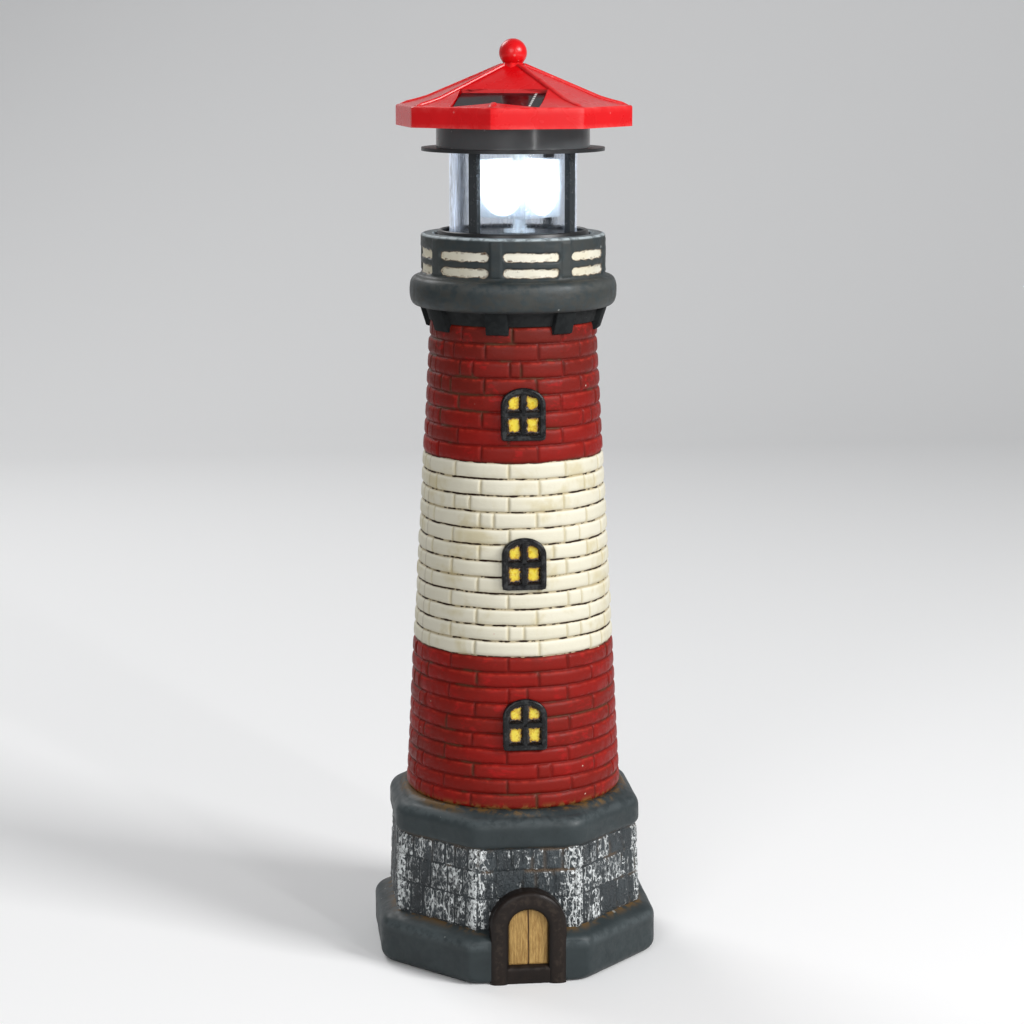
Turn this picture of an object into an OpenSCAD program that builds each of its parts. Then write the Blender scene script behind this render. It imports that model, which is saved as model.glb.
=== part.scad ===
// Garden lighthouse ornament: a hollow cast tower whose solar lamp head lifts out of the gallery.
// Millimetres, +Z up, origin on the ground under the axis, door and windows facing -Y.

/* [Plinth and stone wall] */
// Height of the plinth, up to the foot of the stone wall
plinth_h = 23; // [20:0.5:26]
// Distance from the axis to a corner of the octagonal plinth
plinth_r = 66; // [64.5:0.5:69]
// Radius of the plinth's rounded edges
plinth_edge_r = 5; // [3:0.5:6]
// Height of the stone wall
stone_h = 35; // [31:0.5:39]
// Distance from the axis to a corner of the stone wall, at its foot
stone_r = 58.5; // [57:0.5:60]
// Height of one course of the stone wall
stone_course_h = 9; // [8:0.5:10]
// Depth of the joints between the stone courses
stone_joint = 0.7; // [0.3:0.1:1]
// Height of the ledge on top of the stone wall
ledge_h = 16; // [14:0.5:18]
// Distance from the axis to a corner of the ledge
ledge_r = 58.5; // [57:0.5:60]

/* [Brick shaft] */
// Radius of the shaft at its foot
shaft_foot_r = 47.8; // [46:0.2:49]
// Radius of the shaft at its head
shaft_head_r = 36.2; // [35.4:0.2:37.4]
// Height of the shaft
shaft_h = 207; // [190:1:225]
// Number of brick courses
course_count = 30; // [24:1:32]
// Share by which the courses grow taller towards the head
course_growth = 0.054; // [0:0.002:0.1]
// How far the bricks bulge out of the joints
brick_bulge = 0.9; // [0.4:0.1:1.2]
// Thickness of the cast wall
wall = 5; // [4:0.25:5.5]

/* [Gallery] */
// Thickness of the gallery wall round the lamp base's socket
gallery_wall = 6.2; // [5.8:0.1:7]
// Height of the gallery wall
gallery_h = 17; // [15:0.5:19]
// Height of the rounded belt under the gallery wall
belt_h = 15; // [13:0.5:17]
// How far the belt stands out of the gallery wall
belt_out = 5; // [4:0.1:6]
// Height of the plain collar under the belt
collar_h = 5; // [4:0.5:6]
// Number of panels round the gallery, and of brackets under it
panel_count = 8; // [6:1:10]
// Angle from the door to the nearest panel's middle
panel_turn = 5.5; // [0:0.5:10]
// Height of each slot in a panel
slot_h = 3.6; // [2.8:0.2:4]
// Height of the lower slots' middle above the foot of the gallery wall
slot_low_z = 2.6; // [2.2:0.1:3]
// Height from the lower slots' middle to the upper slots' middle
slot_pitch = 6.6; // [6:0.1:7.2]
// Share of a panel's width that its slots take up
slot_share = 0.8; // [0.7:0.01:0.84]
// Depth of the slots
slot_depth = 0.9; // [0.5:0.1:1.2]
// Width of a bracket
bracket_w = 9.8; // [8:0.2:12]
// How far a bracket hangs below the collar
bracket_drop = 3.8; // [3:0.2:5]

/* [Windows and door] */
// Width of a window, over its frame
window_w = 19; // [17:0.5:21]
// Height of a window, over its frame
window_h = 22.4; // [20:0.5:24]
// Width of the window frame's bars
window_bar = 2.2; // [1.8:0.1:2.6]
// How far the frame stands out of the bricks
window_out = 1.4; // [1:0.1:2]
// Height of the lowest sill above the foot of the shaft
low_sill_h = 26.2; // [24:0.2:30]
// Height of the middle sill above the foot of the shaft
mid_sill_h = 95.6; // [92:0.2:99]
// Height of the highest sill above the foot of the shaft
high_sill_h = 159.2; // [156:0.2:162]
// Width of the door's stone surround
door_w = 33; // [31:0.5:35]
// Height of the door's surround
door_h = 42.6; // [41:0.2:44]
// Width of the door leaf
leaf_w = 17; // [15:0.5:19]
// Height of the door leaf
leaf_h = 25; // [23:0.5:27]
// Height of the threshold under the leaf
threshold_h = 8; // [6:0.5:9]

/* [Lamp base] */
// Room from the battery's end to the outside of the lamp base
end_room = 7.45; // [7.3:0.05:7.8]
// Room from the posts to the outside of the lamp base
post_room = 2.4; // [2:0.1:3]
// Gap round the lamp base in its socket
socket_gap = 1; // [0.6:0.1:1.2]
// Height of the lamp base, from its seat to the lantern floor's top
base_h = 32; // [31:0.5:34]
// Thickness of the moulded plastic walls
shell = 1.8; // [1.5:0.1:2]
// Thickness of the lantern floor
floor_t = 2; // [1.8:0.1:2.2]

/* [Lantern] */
// Height of the lantern, from its floor to its ceiling
lantern_h = 35.2; // [34.5:0.1:40]
// Outer radius of the clear tube
tube_r = 27.4; // [27:0.1:27.6]
// Thickness of the clear tube
tube_t = 1.2; // [1:0.1:1.6]
// Width of a post
post_w = 4.1; // [3.6:0.1:4.6]
// Thickness of a post
post_t = 2.6; // [2.2:0.1:2.8]
// Angle from the door to the first post
post_turn = 49.5; // [45:0.5:54]
// Radius of the ceiling plate
ceiling_r = 39.3; // [38:0.1:41]
// Thickness of the ceiling plate
ceiling_t = 1.4; // [1.2:0.1:1.8]

/* [Rotor] */
// Distance from the lantern's axis to the rotor's axis
rotor_x = 2.7; // [0:0.1:3]
// Angle from the door to the first lens
rotor_turn = 46.5; // [0:0.5:90]
// Diameter of the rotor shaft
shaft_d = 3; // [2.6:0.1:3.2]
// Radial gap of the shaft in its bearings
bearing_gap = 0.04; // [0.02:0.01:0.08]
// Radius of a lens
lens_r = 11.2; // [10.6:0.1:11.4]
// How far a lens bulges out of its frame
lens_bulge = 3; // [2:0.1:3.4]
// Height of the lenses' middle above the lantern floor
lens_z = 19; // [18.5:0.1:20]
// Half the width of the square lens frame
frame_half = 12.5; // [12.5:0.1:12.9]

/* [Drive] */
// Teeth on the rotor gear
gear_teeth = 36; // [32:1:40]
// Teeth on the motor pinion
pinion_teeth = 12; // [11:1:14]
// Distance between the axes of gear and pinion
gear_distance = 14; // [13.8:0.1:14.2]
// Width of the rotor gear
gear_w = 3.4; // [3:0.1:3.8]
// Diameter of the motor
motor_d = 12; // [10:0.5:12.5]
// Length of the motor
motor_h = 11; // [9:0.5:12]

/* [Battery] */
// Diameter of the battery
battery_d = 14.5; // [10.5:0.5:14.5]
// Length of the battery
battery_len = 50.5; // [44.5:0.5:50.5]

/* [Housing and roof] */
// Radius of the housing
housing_r = 32.9; // [32.5:0.1:33.5]
// Height of the housing
housing_h = 9.1; // [8.6:0.1:11]
// Distance from the axis to a corner of the roof
roof_r = 51.5; // [50:0.5:54]
// Height of the roof's upright edge
fascia_h = 8.8; // [8:0.2:10]
// Thickness of the roof
roof_t = 2; // [1.6:0.1:2.2]
// Angle from the door to the roof's front corner
roof_turn = -16.8; // [-22.5:0.1:0]
// Height of the ball's middle above the roof's edge
roof_rise = 21.8; // [21:0.1:23]
// How far the flared rim reaches in before the slope starts
flare_run = 11.5; // [10.5:0.5:12.5]
// How much the flared rim climbs before the slope starts
flare_h = 2.2; // [1.6:0.1:3]
// Radius of the ball on the roof
ball_r = 5.95; // [5:0.05:7]
// Width of the solar panel
panel_w = 36.6; // [34:0.2:37]
// Length of the solar panel, down the slope
panel_len = 22.6; // [20:0.2:22.8]
// Thickness of the solar panel
panel_t = 1.9; // [1.5:0.1:2.1]
// Slope of the solar panel
panel_slope = 16; // [14:0.5:18]
// Distance from the axis to the panel's upper edge
pocket_back = 20.4; // [20:0.1:21]

/* [Hidden] */

EPS = 0.01;
ROUND = 96;
// Gap between pieces that are fitted together and stay put
fit_gap = 0.1;
// Gap between a loose piece and what is round it
loose_gap = 0.3;

// Heights of the tower's parts above the ground
stone_z = plinth_h;
ledge_z = stone_z + stone_h;
shaft_z = ledge_z + ledge_h;
collar_z = shaft_z + shaft_h;
belt_z = collar_z + collar_h;
gallery_z = belt_z + belt_h;
tower_h = gallery_z + gallery_h;

// The lamp base has room for the battery across it and for the posts on it, and the socket goes round it
post_reach = tube_r + loose_gap + post_t / 2;
base_r = max(battery_len / 2 + end_room, post_reach + post_t / 2 + post_room);
socket_r = base_r + socket_gap;
gallery_r = socket_r + gallery_wall;
belt_r = gallery_r + belt_out;

// The lamp base drops into the socket until it meets the seat
floor_z = tower_h - 0.2;
seat_z = floor_z - base_h;
throat_r = base_r - shell + fit_gap;

// The octagon's flat sides are this much closer to the axis than its corners
OCTAGON = cos(22.5);
stone_lean = 1.5;
door_y = plinth_r * OCTAGON;
door_out = 1.2;
leaf_back = 3.2;
slot_z = [gallery_z + slot_low_z, gallery_z + slot_low_z + slot_pitch];
sill_z = [shaft_z + low_sill_h, shaft_z + mid_sill_h, shaft_z + high_sill_h];

// A direction in degrees from the door, as X and Y
function direction(turn) = [sin(turn), -cos(turn)];

// Radius of the shaft's joints at a height above the ground
function shaft_radius(z) =
    shaft_foot_r + (shaft_head_r - shaft_foot_r) * (z - shaft_z) / shaft_h - brick_bulge;
shaft_taper = atan((shaft_foot_r - shaft_head_r) / shaft_h);

// Height above the ground of a point in the courses, counted from the foot of the shaft
function course_z(i) =
    let (t = i / course_count)
        shaft_z + shaft_h * t * (1 + course_growth * (t - 1));

// Each course is a straight face between two short rounded edges
course_profile = [[0, 0], [0.06, 0.6], [0.16, 0.93], [0.3, 1], [0.7, 1], [0.84, 0.93], [0.94, 0.6]];

// Points of an arc in a revolved outline
function arc(centre, r, from, to, steps = 6) = [
    for (i = [0:steps])
        let (a = from + (to - from) * i / steps)
            [centre[0] + r * cos(a), centre[1] + r * sin(a)]
];

// ---------------------------------------------------------------- tower

module plinth_solid() {
    edge = plinth_edge_r;
    difference() {
        plinth_octagon(edge);
        translate([-plinth_r, -door_y - 1, -1])
            cube([2 * plinth_r, 1 + door_out, plinth_h]);
    }
}

module plinth_octagon(edge) {
    rotate([0, 0, 22.5])
        rotate_extrude($fn = 8)
            polygon(concat(
                [[0, 0]],
                arc([plinth_r - edge, edge], edge, -90, 0, 4),
                arc([plinth_r - edge, plinth_h - edge - 2], edge, 0, 60, 4),
                [[stone_r, plinth_h], [0, plinth_h]]
            ));
}

module stone_solid() {
    top_r = stone_r - stone_lean;
    courses = floor(stone_h / stone_course_h);
    joints = [for (i = [courses - 1:-1:1]) stone_h - i * stone_course_h];
    function face_r(h) = stone_r - stone_lean * h / stone_h;
    rotate([0, 0, 22.5])
        rotate_extrude($fn = 8)
            polygon(concat(
                [[0, stone_z - EPS], [stone_r, stone_z - EPS]],
                [for (h = joints) each [
                    [face_r(h), stone_z + h - stone_joint],
                    [face_r(h) - stone_joint, stone_z + h],
                    [face_r(h), stone_z + h + stone_joint]
                ]],
                [[top_r, ledge_z + EPS], [0, ledge_z + EPS]]
            ));
}

module ledge_solid() {
    low = 3;
    high = 6;
    rotate([0, 0, 22.5])
        rotate_extrude($fn = 8)
            polygon(concat(
                [[0, ledge_z], [ledge_r - low, ledge_z]],
                arc([ledge_r - low, ledge_z + low], low, -60, 0, 3),
                arc([ledge_r - high, shaft_z - high - 2], high, 0, 70, 5),
                [[shaft_foot_r, shaft_z], [0, shaft_z]]
            ));
}

module shaft_solid() {
    rotate_extrude($fn = ROUND)
        polygon(concat(
            [[0, shaft_z - 2]],
            [[shaft_radius(shaft_z), shaft_z - 2]],
            [for (i = [0:course_count - 1]) each [
                for (p = course_profile)
                    let (z = course_z(i + p[0]))
                        [shaft_radius(z) + brick_bulge * p[1], z]
            ]],
            [[shaft_radius(collar_z), collar_z], [0, collar_z]]
        ));
}

module gallery_solid() {
    belt_mid = belt_z + belt_h / 2;
    belt_edge = belt_h / 2 - 1;
    rotate_extrude($fn = ROUND)
        polygon(concat(
            [[0, collar_z - EPS], [shaft_head_r + 0.3, collar_z - EPS], [shaft_head_r + 1.8, belt_z]],
            arc([belt_r - belt_edge, belt_mid], belt_edge, -80, 80, 10),
            [[gallery_r, gallery_z], [gallery_r, tower_h - 0.6], [gallery_r - 0.6, tower_h], [0, tower_h]]
        ));
}

// Brackets lean out from the shaft to the underside of the belt
module brackets() {
    foot_z = collar_z - bracket_drop;
    for (i = [0:panel_count - 1])
        rotate([0, 0, panel_turn + 360 / panel_count * (i + 0.5)])
            rotate([90, 0, 0])
                rotate([0, 90, 0])
                    translate([0, 0, -bracket_w / 2])
                        linear_extrude(bracket_w)
                            polygon([
                                [shaft_head_r - 3, foot_z],
                                [shaft_head_r + brick_bulge, foot_z],
                                [gallery_r + 0.6, belt_z + 1.6],
                                [shaft_head_r - 3, belt_z + 1.6]
                            ]);
}

// A slightly raised pilaster between each two panels
module gallery_posts() {
    pilaster_w = 4.4;
    rise = 0.5;
    for (i = [0:panel_count - 1])
        rotate([0, 0, panel_turn + 360 / panel_count * (i + 0.5)])
            translate([-pilaster_w / 2, -gallery_r - rise, gallery_z - 2])
                cube([pilaster_w, 4, gallery_h]);
}

// A slot's outline: a bar with round ends
module stadium(w, h) {
    polygon(concat(
        arc([w / 2 - h / 2, 0], h / 2, -90, 90, 8),
        arc([h / 2 - w / 2, 0], h / 2, 90, 270, 8)
    ));
}

// Two shallow slots in each panel, cut in towards the axis
module gallery_slots() {
    slot_w = 2 * PI * gallery_r / panel_count * slot_share;
    difference() {
        for (i = [0:panel_count - 1])
            rotate([0, 0, panel_turn + 360 / panel_count * i])
                for (z = slot_z)
                    translate([0, 0, z])
                        rotate([90, 0, 0])
                            linear_extrude(gallery_r + 3)
                                stadium(slot_w, slot_h);
        translate([0, 0, gallery_z - 10])
            cylinder(r = gallery_r - slot_depth, h = gallery_h + 20, $fn = ROUND);
    }
}

// An arch standing on its foot: a rectangle with an elliptical top
module arch(w, h, crown) {
    steps = 12;
    polygon(concat(
        [[-w / 2, 0], [w / 2, 0]],
        [for (i = [0:steps]) let (a = 180 * i / steps) [w / 2 * cos(a), h - crown + crown * sin(a)]]
    ));
}

// Places a shape drawn in XY on the shaft's front, leaning with it
module on_shaft(z) {
    translate([0, -shaft_radius(z) - brick_bulge, z])
        rotate([90 - shaft_taper, 0, 0])
            children();
}

module window_solid(z) {
    on_shaft(z)
        translate([0, 0, -4])
            linear_extrude(4 + window_out)
                arch(window_w, window_h, 7.5);
}

module window_panes(z) {
    pane_w = (window_w - 3 * window_bar) / 2;
    sill_h = window_bar + 1;
    low_h = 7.2;
    on_shaft(z)
        translate([0, 0, -0.2])
            linear_extrude(4 + window_out)
                intersection() {
                    translate([0, sill_h])
                        arch(window_w - 2 * window_bar, window_h - sill_h - window_bar, 5.6);
                    for (side = [-1, 1])
                        for (y = [sill_h, sill_h + low_h + window_bar])
                            translate([side * (pane_w + window_bar) / 2 - pane_w / 2, y])
                                square([pane_w, y > sill_h ? 12 : low_h]);
                }
}

module door_solid() {
    depth = 14;
    translate([0, depth - door_y, 0])
        rotate([90, 0, 0])
            linear_extrude(depth)
                arch(door_w, door_h, door_w * 0.46);
}

// The leaf is set back in the surround, two planks with a joint between them
module door_recess() {
    translate([0, -door_y + leaf_back, threshold_h])
        rotate([90, 0, 0]) {
            linear_extrude(leaf_back + 2)
                arch(leaf_w, leaf_h, leaf_w * 0.36);
            translate([-0.3, 0, -0.6])
                linear_extrude(leaf_back)
                    square([0.6, leaf_h]);
        }
}

// The inside of the casting, open at the foot and stepped at the head to hold the lamp base
module tower_hollow() {
    foot_r = stone_r * OCTAGON - wall;
    shaft_in = shaft_radius(shaft_z) - wall + brick_bulge;
    neck_in = shaft_radius(collar_z) - wall + brick_bulge;
    rotate_extrude($fn = ROUND)
        polygon([
            [0, -1], [foot_r, -1], [foot_r, ledge_z - 4], [shaft_in, shaft_z + 2],
            [neck_in, collar_z - 8], [throat_r, seat_z - 2], [throat_r, seat_z],
            [socket_r, seat_z], [socket_r, tower_h + 1], [0, tower_h + 1]
        ]);
}

module tower() {
    difference() {
        union() {
            color("slategray") plinth_solid();
            color("dimgray") stone_solid();
            color("slategray") ledge_solid();
            color("firebrick") shaft_solid();
            color("slategray") gallery_solid();
            color("slategray") brackets();
            color("slategray") gallery_posts();
            color("black") for (z = sill_z) window_solid(z);
            color("dimgray") door_solid();
        }
        tower_hollow();
        color("ivory") gallery_slots();
        color("gold") for (z = sill_z) window_panes(z);
        color("peru") door_recess();
    }
}

// ---------------------------------------------------------------- lamp base

base_in_r = base_r - shell;
cup_top_z = floor_z - floor_t;
cover_t = 2;
cover_z = seat_z;
boss_r = 2.8;
boss_turns = [25, 155, 205, 335];
boss_reach = base_in_r - boss_r + 0.6;
screw_d = 2;
screw_len = 6;
plate_t = 1.6;
gear_clear = 3;
gear_z = cup_top_z - gear_clear - gear_w - 1;
plate_z = gear_z - gear_clear - plate_t;
motor_y = -gear_distance;

// Moves its children to each of the four bosses
module at_bosses() {
    for (turn = boss_turns)
        translate([boss_reach * direction(turn)[0], boss_reach * direction(turn)[1], 0])
            children();
}

module lamp_base() color("#151617") {
    difference() {
        translate([0, 0, seat_z])
            cylinder(r = base_r, h = base_h - floor_t, $fn = ROUND);
        translate([0, 0, seat_z - 1])
            cylinder(r = base_in_r, h = base_h + 2, $fn = ROUND);
    }
    difference() {
        intersection() {
            at_bosses()
                translate([0, 0, cover_z + cover_t])
                    cylinder(r = boss_r, h = plate_z - cover_z - cover_t, $fn = 32);
            translate([0, 0, seat_z])
                cylinder(r = base_in_r + shell / 2, h = base_h, $fn = ROUND);
        }
        at_bosses()
            translate([0, 0, cover_z])
                cylinder(d = screw_d + 2 * fit_gap, h = plate_z, $fn = 24);
    }
}

bay_y = 3;
bay_gap = 0.5;
bay_wall = 1.2;
bay_w = battery_d + 2 * bay_gap;
bay_h = battery_d + 0.8;
contact_t = 0.5;
contact_w = 8;
spring_len = 3;
bay_len = battery_len + 2 * contact_t + spring_len;
battery_x = spring_len / 2;
battery_z = cover_z + cover_t + battery_d / 2 + 0.2;
hatch_len = battery_len + 2 * bay_gap;
door_lip = 1;

module standing_wall(x, y) {
    translate([-x / 2, -y / 2, 0])
        cube([x, y, bay_h]);
}

module base_cover() color("#1b1c1d") {
    difference() {
        translate([0, 0, cover_z])
            cylinder(r = base_in_r - fit_gap, h = cover_t, $fn = ROUND);
        translate([battery_x - hatch_len / 2, bay_y - bay_w / 2, cover_z - 1])
            cube([hatch_len, bay_w, cover_t + 2]);
        translate([battery_x - hatch_len / 2, bay_y - bay_w / 2 - door_lip, cover_z - 1])
            cube([hatch_len, bay_w + 2 * door_lip, 1 + cover_t / 2]);
        at_bosses() {
            translate([0, 0, cover_z - 1])
                cylinder(d = screw_d + 2 * fit_gap, h = cover_t + 2, $fn = 24);
            translate([0, 0, cover_z - 1])
                cylinder(d = 4, h = 2, $fn = 32);
        }
    }
    for (side = [-1, 1])
        translate([0, bay_y + side * (bay_w + bay_wall) / 2, cover_z + cover_t - EPS])
            standing_wall(battery_len, bay_wall);
    for (side = [-1, 1])
        translate([side * (bay_len + bay_wall) / 2, bay_y, cover_z + cover_t - EPS])
            standing_wall(bay_wall, contact_w);
}

module battery_door() color("#1b1c1d") {
    half_len = hatch_len / 2 - loose_gap;
    half_w = bay_w / 2 + door_lip - loose_gap;
    difference() {
        translate([battery_x - half_len, bay_y - half_w, cover_z])
            cube([2 * half_len, 2 * half_w, cover_t / 2]);
        for (i = [0:4])
            translate([battery_x + half_len - 12 + 1.6 * i, bay_y - 4, cover_z - 0.5])
                cube([0.8, 8, 0.9]);
    }
}

module battery() color("seagreen") {
    button_h = 1.2;
    translate([battery_x - battery_len / 2, bay_y, battery_z])
        rotate([0, 90, 0]) {
            cylinder(d = battery_d, h = battery_len - button_h, $fn = 64);
            translate([0, 0, battery_len - button_h])
                cylinder(d = 5.4, h = button_h, $fn = 48);
        }
}

module contact_plate() color("silver")
    translate([bay_len / 2 - contact_t, bay_y - contact_w / 2, cover_z + cover_t])
        cube([contact_t, contact_w, bay_h]);

// A tapering coil swept round the battery's axis
function coil_point(t, turns, r0, r1, len) =
    let (a = 360 * turns * t, r = r0 + (r1 - r0) * t) [r * cos(a), r * sin(a), len * t];

module coil(turns, r0, r1, len, wire) {
    steps = round(16 * turns);
    sides = 8;
    points = [
        for (i = [0:steps])
            let (c = coil_point(i / steps, turns, r0, r1, len), a = 360 * turns * i / steps)
                for (k = [0:sides - 1])
                    let (b = 360 * k / sides)
                        [
                            c[0] + wire * cos(b) * cos(a),
                            c[1] + wire * cos(b) * sin(a),
                            c[2] + wire * sin(b)
                        ]
    ];
    skin = [
        for (i = [0:steps - 1])
            for (k = [0:sides - 1])
                let (a = i * sides, b = a + sides, next = (k + 1) % sides)
                    [a + k, a + next, b + next, b + k]
    ];
    caps = [[for (k = [sides - 1:-1:0]) k], [for (k = [0:sides - 1]) steps * sides + k]];
    polyhedron(points, concat(skin, caps), convexity = 10);
}

module contact_spring() color("silver") {
    wire = 0.35;
    translate([-bay_len / 2, bay_y - contact_w / 2, cover_z + cover_t])
        cube([contact_t, contact_w, bay_h]);
    translate([-bay_len / 2 + contact_t + wire - 0.1, bay_y, battery_z])
        rotate([0, 90, 0])
            coil(3, 4.2, 2.2, spring_len - 2 * wire - 0.1, wire);
}

module drive_plate() color("#e8e6df") {
    bearing_h = 2.2;
    difference() {
        union() {
            translate([0, 0, plate_z])
                cylinder(r = base_in_r - fit_gap, h = plate_t, $fn = ROUND);
            translate([rotor_x, 0, plate_z])
                cylinder(d = 7, h = plate_t + bearing_h, $fn = 48);
        }
        translate([rotor_x, 0, plate_z + 1])
            cylinder(d = shaft_d + 2 * bearing_gap, h = 10, $fn = 48);
        translate([rotor_x, motor_y, plate_z - 1])
            cylinder(d = 4.4, h = plate_t + 2, $fn = 48);
        at_bosses()
            translate([0, 0, plate_z - 1])
                cylinder(d = screw_d + 2 * fit_gap, h = plate_t + 2, $fn = 24);
        for (i = [0:3])
            rotate([0, 0, post_turn + 90 * i])
                translate([0, -post_reach, plate_z - 1])
                    cylinder(d = 4, h = plate_t + 2, $fn = 32);
    }
}

module motor() color("silver") {
    translate([rotor_x, motor_y, plate_z - motor_h])
        difference() {
            union() {
                cylinder(d = motor_d, h = motor_h, $fn = 64);
                translate([0, 0, motor_h])
                    cylinder(d = 4, h = 1, $fn = 48);
                translate([0, 0, -0.8])
                    cylinder(d = 4, h = 0.8 + EPS, $fn = 48);
            }
            translate([0, 0, 2])
                cylinder(d = 1.5 + 2 * bearing_gap, h = motor_h, $fn = 32);
        }
}

module motor_shaft() color("lightgray")
    translate([rotor_x, motor_y, plate_z - motor_h + 2.1])
        cylinder(d = 1.5, h = gear_z + gear_w + 0.8 - (plate_z - motor_h + 2.1), $fn = 32);

// ---------------------------------------------------------------- gears

module_size = 2 * gear_distance / (gear_teeth + pinion_teeth);

// One flank point of an involute at a radius, as an angle from the tooth's middle
function involute_angle(r, base) = r > base ? let (t = acos(base / r)) tan(t) * 180 / PI - t : 0;

module spur(teeth, backlash) {
    pressure = 20;
    pitch = module_size * teeth / 2;
    base = pitch * cos(pressure);
    tip = pitch + 0.8 * module_size;
    root = pitch - 1.15 * module_size;
    half = 90 / teeth + involute_angle(pitch, base) - backlash / pitch * 90 / PI;
    flank = [for (i = [0:4]) root + (tip - root) * i / 4];
    function lean(r) = half - involute_angle(r, base);
    polygon([for (k = [0:teeth - 1]) let (middle = 360 / teeth * k) each concat(
        [for (r = flank) [r * cos(middle - lean(r)), r * sin(middle - lean(r))]],
        [for (i = [4:-1:0]) let (r = flank[i]) [r * cos(middle + lean(r)), r * sin(middle + lean(r))]]
    )]);
}

module rotor_gear() color("white")
    translate([rotor_x, 0, gear_z])
        difference() {
            linear_extrude(gear_w)
                rotate([0, 0, -90])
                    spur(gear_teeth, 0.1);
            translate([0, 0, -1])
                cylinder(d = shaft_d + 2 * bearing_gap, h = gear_w + 2, $fn = 48);
            for (i = [0:4])
                rotate([0, 0, 72 * i])
                    translate([6, 0, -1])
                        cylinder(d = 3.6, h = gear_w + 2, $fn = 32);
        }

module motor_pinion() color("white")
    translate([rotor_x, motor_y, gear_z - 0.4])
        difference() {
            linear_extrude(gear_w + 0.8)
                rotate([0, 0, 90 + 180 / pinion_teeth])
                    spur(pinion_teeth, 0.1);
            translate([0, 0, -1])
                cylinder(d = 1.5 + 2 * bearing_gap, h = gear_w + 3, $fn = 32);
        }

// ---------------------------------------------------------------- lantern

lead_d = 1.2;
lead_hole = lead_d + 2 * loose_gap;
peg_w = post_w - 0.8;
peg_t = post_t - 0.4;
peg_h = 1;
ceiling_z = floor_z + lantern_h;
groove = 0.8;

module lantern_floor() color("#151617") {
    spigot_t = 0.9;
    spigot_h = 2.6;
    difference() {
        union() {
            translate([0, 0, cup_top_z])
                cylinder(r = base_r, h = floor_t, $fn = ROUND);
            translate([0, 0, cup_top_z - spigot_h])
                difference() {
                    cylinder(r = base_in_r - fit_gap, h = spigot_h + EPS, $fn = ROUND);
                    translate([0, 0, -1])
                        cylinder(r = base_in_r - fit_gap - spigot_t, h = spigot_h + 2, $fn = ROUND);
                }
        }
        translate([0, 0, floor_z - groove])
            difference() {
                cylinder(r = tube_r + fit_gap, h = groove + 1, $fn = ROUND);
                translate([0, 0, -1])
                    cylinder(r = tube_r - tube_t - fit_gap, h = groove + 3, $fn = ROUND);
            }
        translate([rotor_x, 0, cup_top_z - 1])
            cylinder(d = 6 + 2 * bearing_gap, h = floor_t + 2, $fn = 48);
        post_sockets(floor_z - peg_h);
    }
}

// Pockets for the posts' pegs, each with a hole for a lead
module post_sockets(z) {
    for (i = [0:3])
        rotate([0, 0, post_turn + 90 * i]) {
            translate([-peg_w / 2 - fit_gap, -post_reach - peg_t / 2 - fit_gap, z])
                cube([peg_w + 2 * fit_gap, peg_t + 2 * fit_gap, peg_h + 1]);
            translate([0, -post_reach, z - 5])
                cylinder(d = lead_hole, h = 12, $fn = 24);
        }
}

module rotor_bush() color("goldenrod")
    translate([rotor_x, 0, 0])
        difference() {
            union() {
                translate([0, 0, cup_top_z - 0.6])
                    cylinder(d = 6, h = floor_t + 0.6, $fn = 48);
                translate([0, 0, cup_top_z - 1.2])
                    cylinder(d = 8, h = 1.2, $fn = 48);
            }
            translate([0, 0, cup_top_z - 2])
                cylinder(d = shaft_d + 2 * bearing_gap, h = floor_t + 4, $fn = 48);
        }

module lantern_tube() color("#cfe3ee", 0.4)
    translate([0, 0, floor_z - groove])
        difference() {
            cylinder(r = tube_r, h = lantern_h + 2 * groove, $fn = ROUND);
            translate([0, 0, -1])
                cylinder(r = tube_r - tube_t, h = lantern_h + 2 * groove + 2, $fn = ROUND);
        }

module lantern_post(i) color("#4b5052")
    rotate([0, 0, post_turn + 90 * i])
        translate([0, -post_reach, floor_z])
            difference() {
                union() {
                    translate([-post_w / 2, -post_t / 2, 0])
                        cube([post_w, post_t, lantern_h]);
                    translate([-peg_w / 2, -peg_t / 2, -peg_h])
                        cube([peg_w, peg_t, lantern_h + 2 * peg_h]);
                }
                translate([0, 0, -5])
                    cylinder(d = lead_hole, h = lantern_h + 10, $fn = 24);
            }

module lantern_post_1() lantern_post(0);
module lantern_post_2() lantern_post(1);
module lantern_post_3() lantern_post(2);
module lantern_post_4() lantern_post(3);

// ---------------------------------------------------------------- rotor

hub_d = 5.6;
hub_flange_d = 13;
hub_flange_h = 1.2;
frame_z = floor_z + lens_z;
frame_h = 2 * frame_half - 0.6;
frame_wall = 2;
frame_floor_z = frame_z - frame_h / 2;
shaft_foot_z = plate_z + 1;

module rotor_shaft() color("lightgray")
    translate([rotor_x, 0, shaft_foot_z])
        cylinder(d = shaft_d, h = frame_floor_z - shaft_foot_z, $fn = 48);

// A clear hub with eight flutes stands on the shaft and carries the lens frame
module rotor_hub() color("#dfe9ee")
    translate([rotor_x, 0, floor_z + loose_gap])
        difference() {
            union() {
                cylinder(d = hub_flange_d, h = hub_flange_h, $fn = 64);
                cylinder(d = hub_d, h = frame_floor_z - floor_z - loose_gap, $fn = 64);
            }
            translate([0, 0, -1])
                cylinder(d = shaft_d + 2 * bearing_gap, h = 40, $fn = 48);
            for (i = [0:7])
                rotate([0, 0, 45 * i])
                    translate([hub_d / 2 + 0.25, 0, hub_flange_h])
                        cylinder(d = 1, h = 40, $fn = 24);
        }

lens_seat = 1.3;

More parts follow.
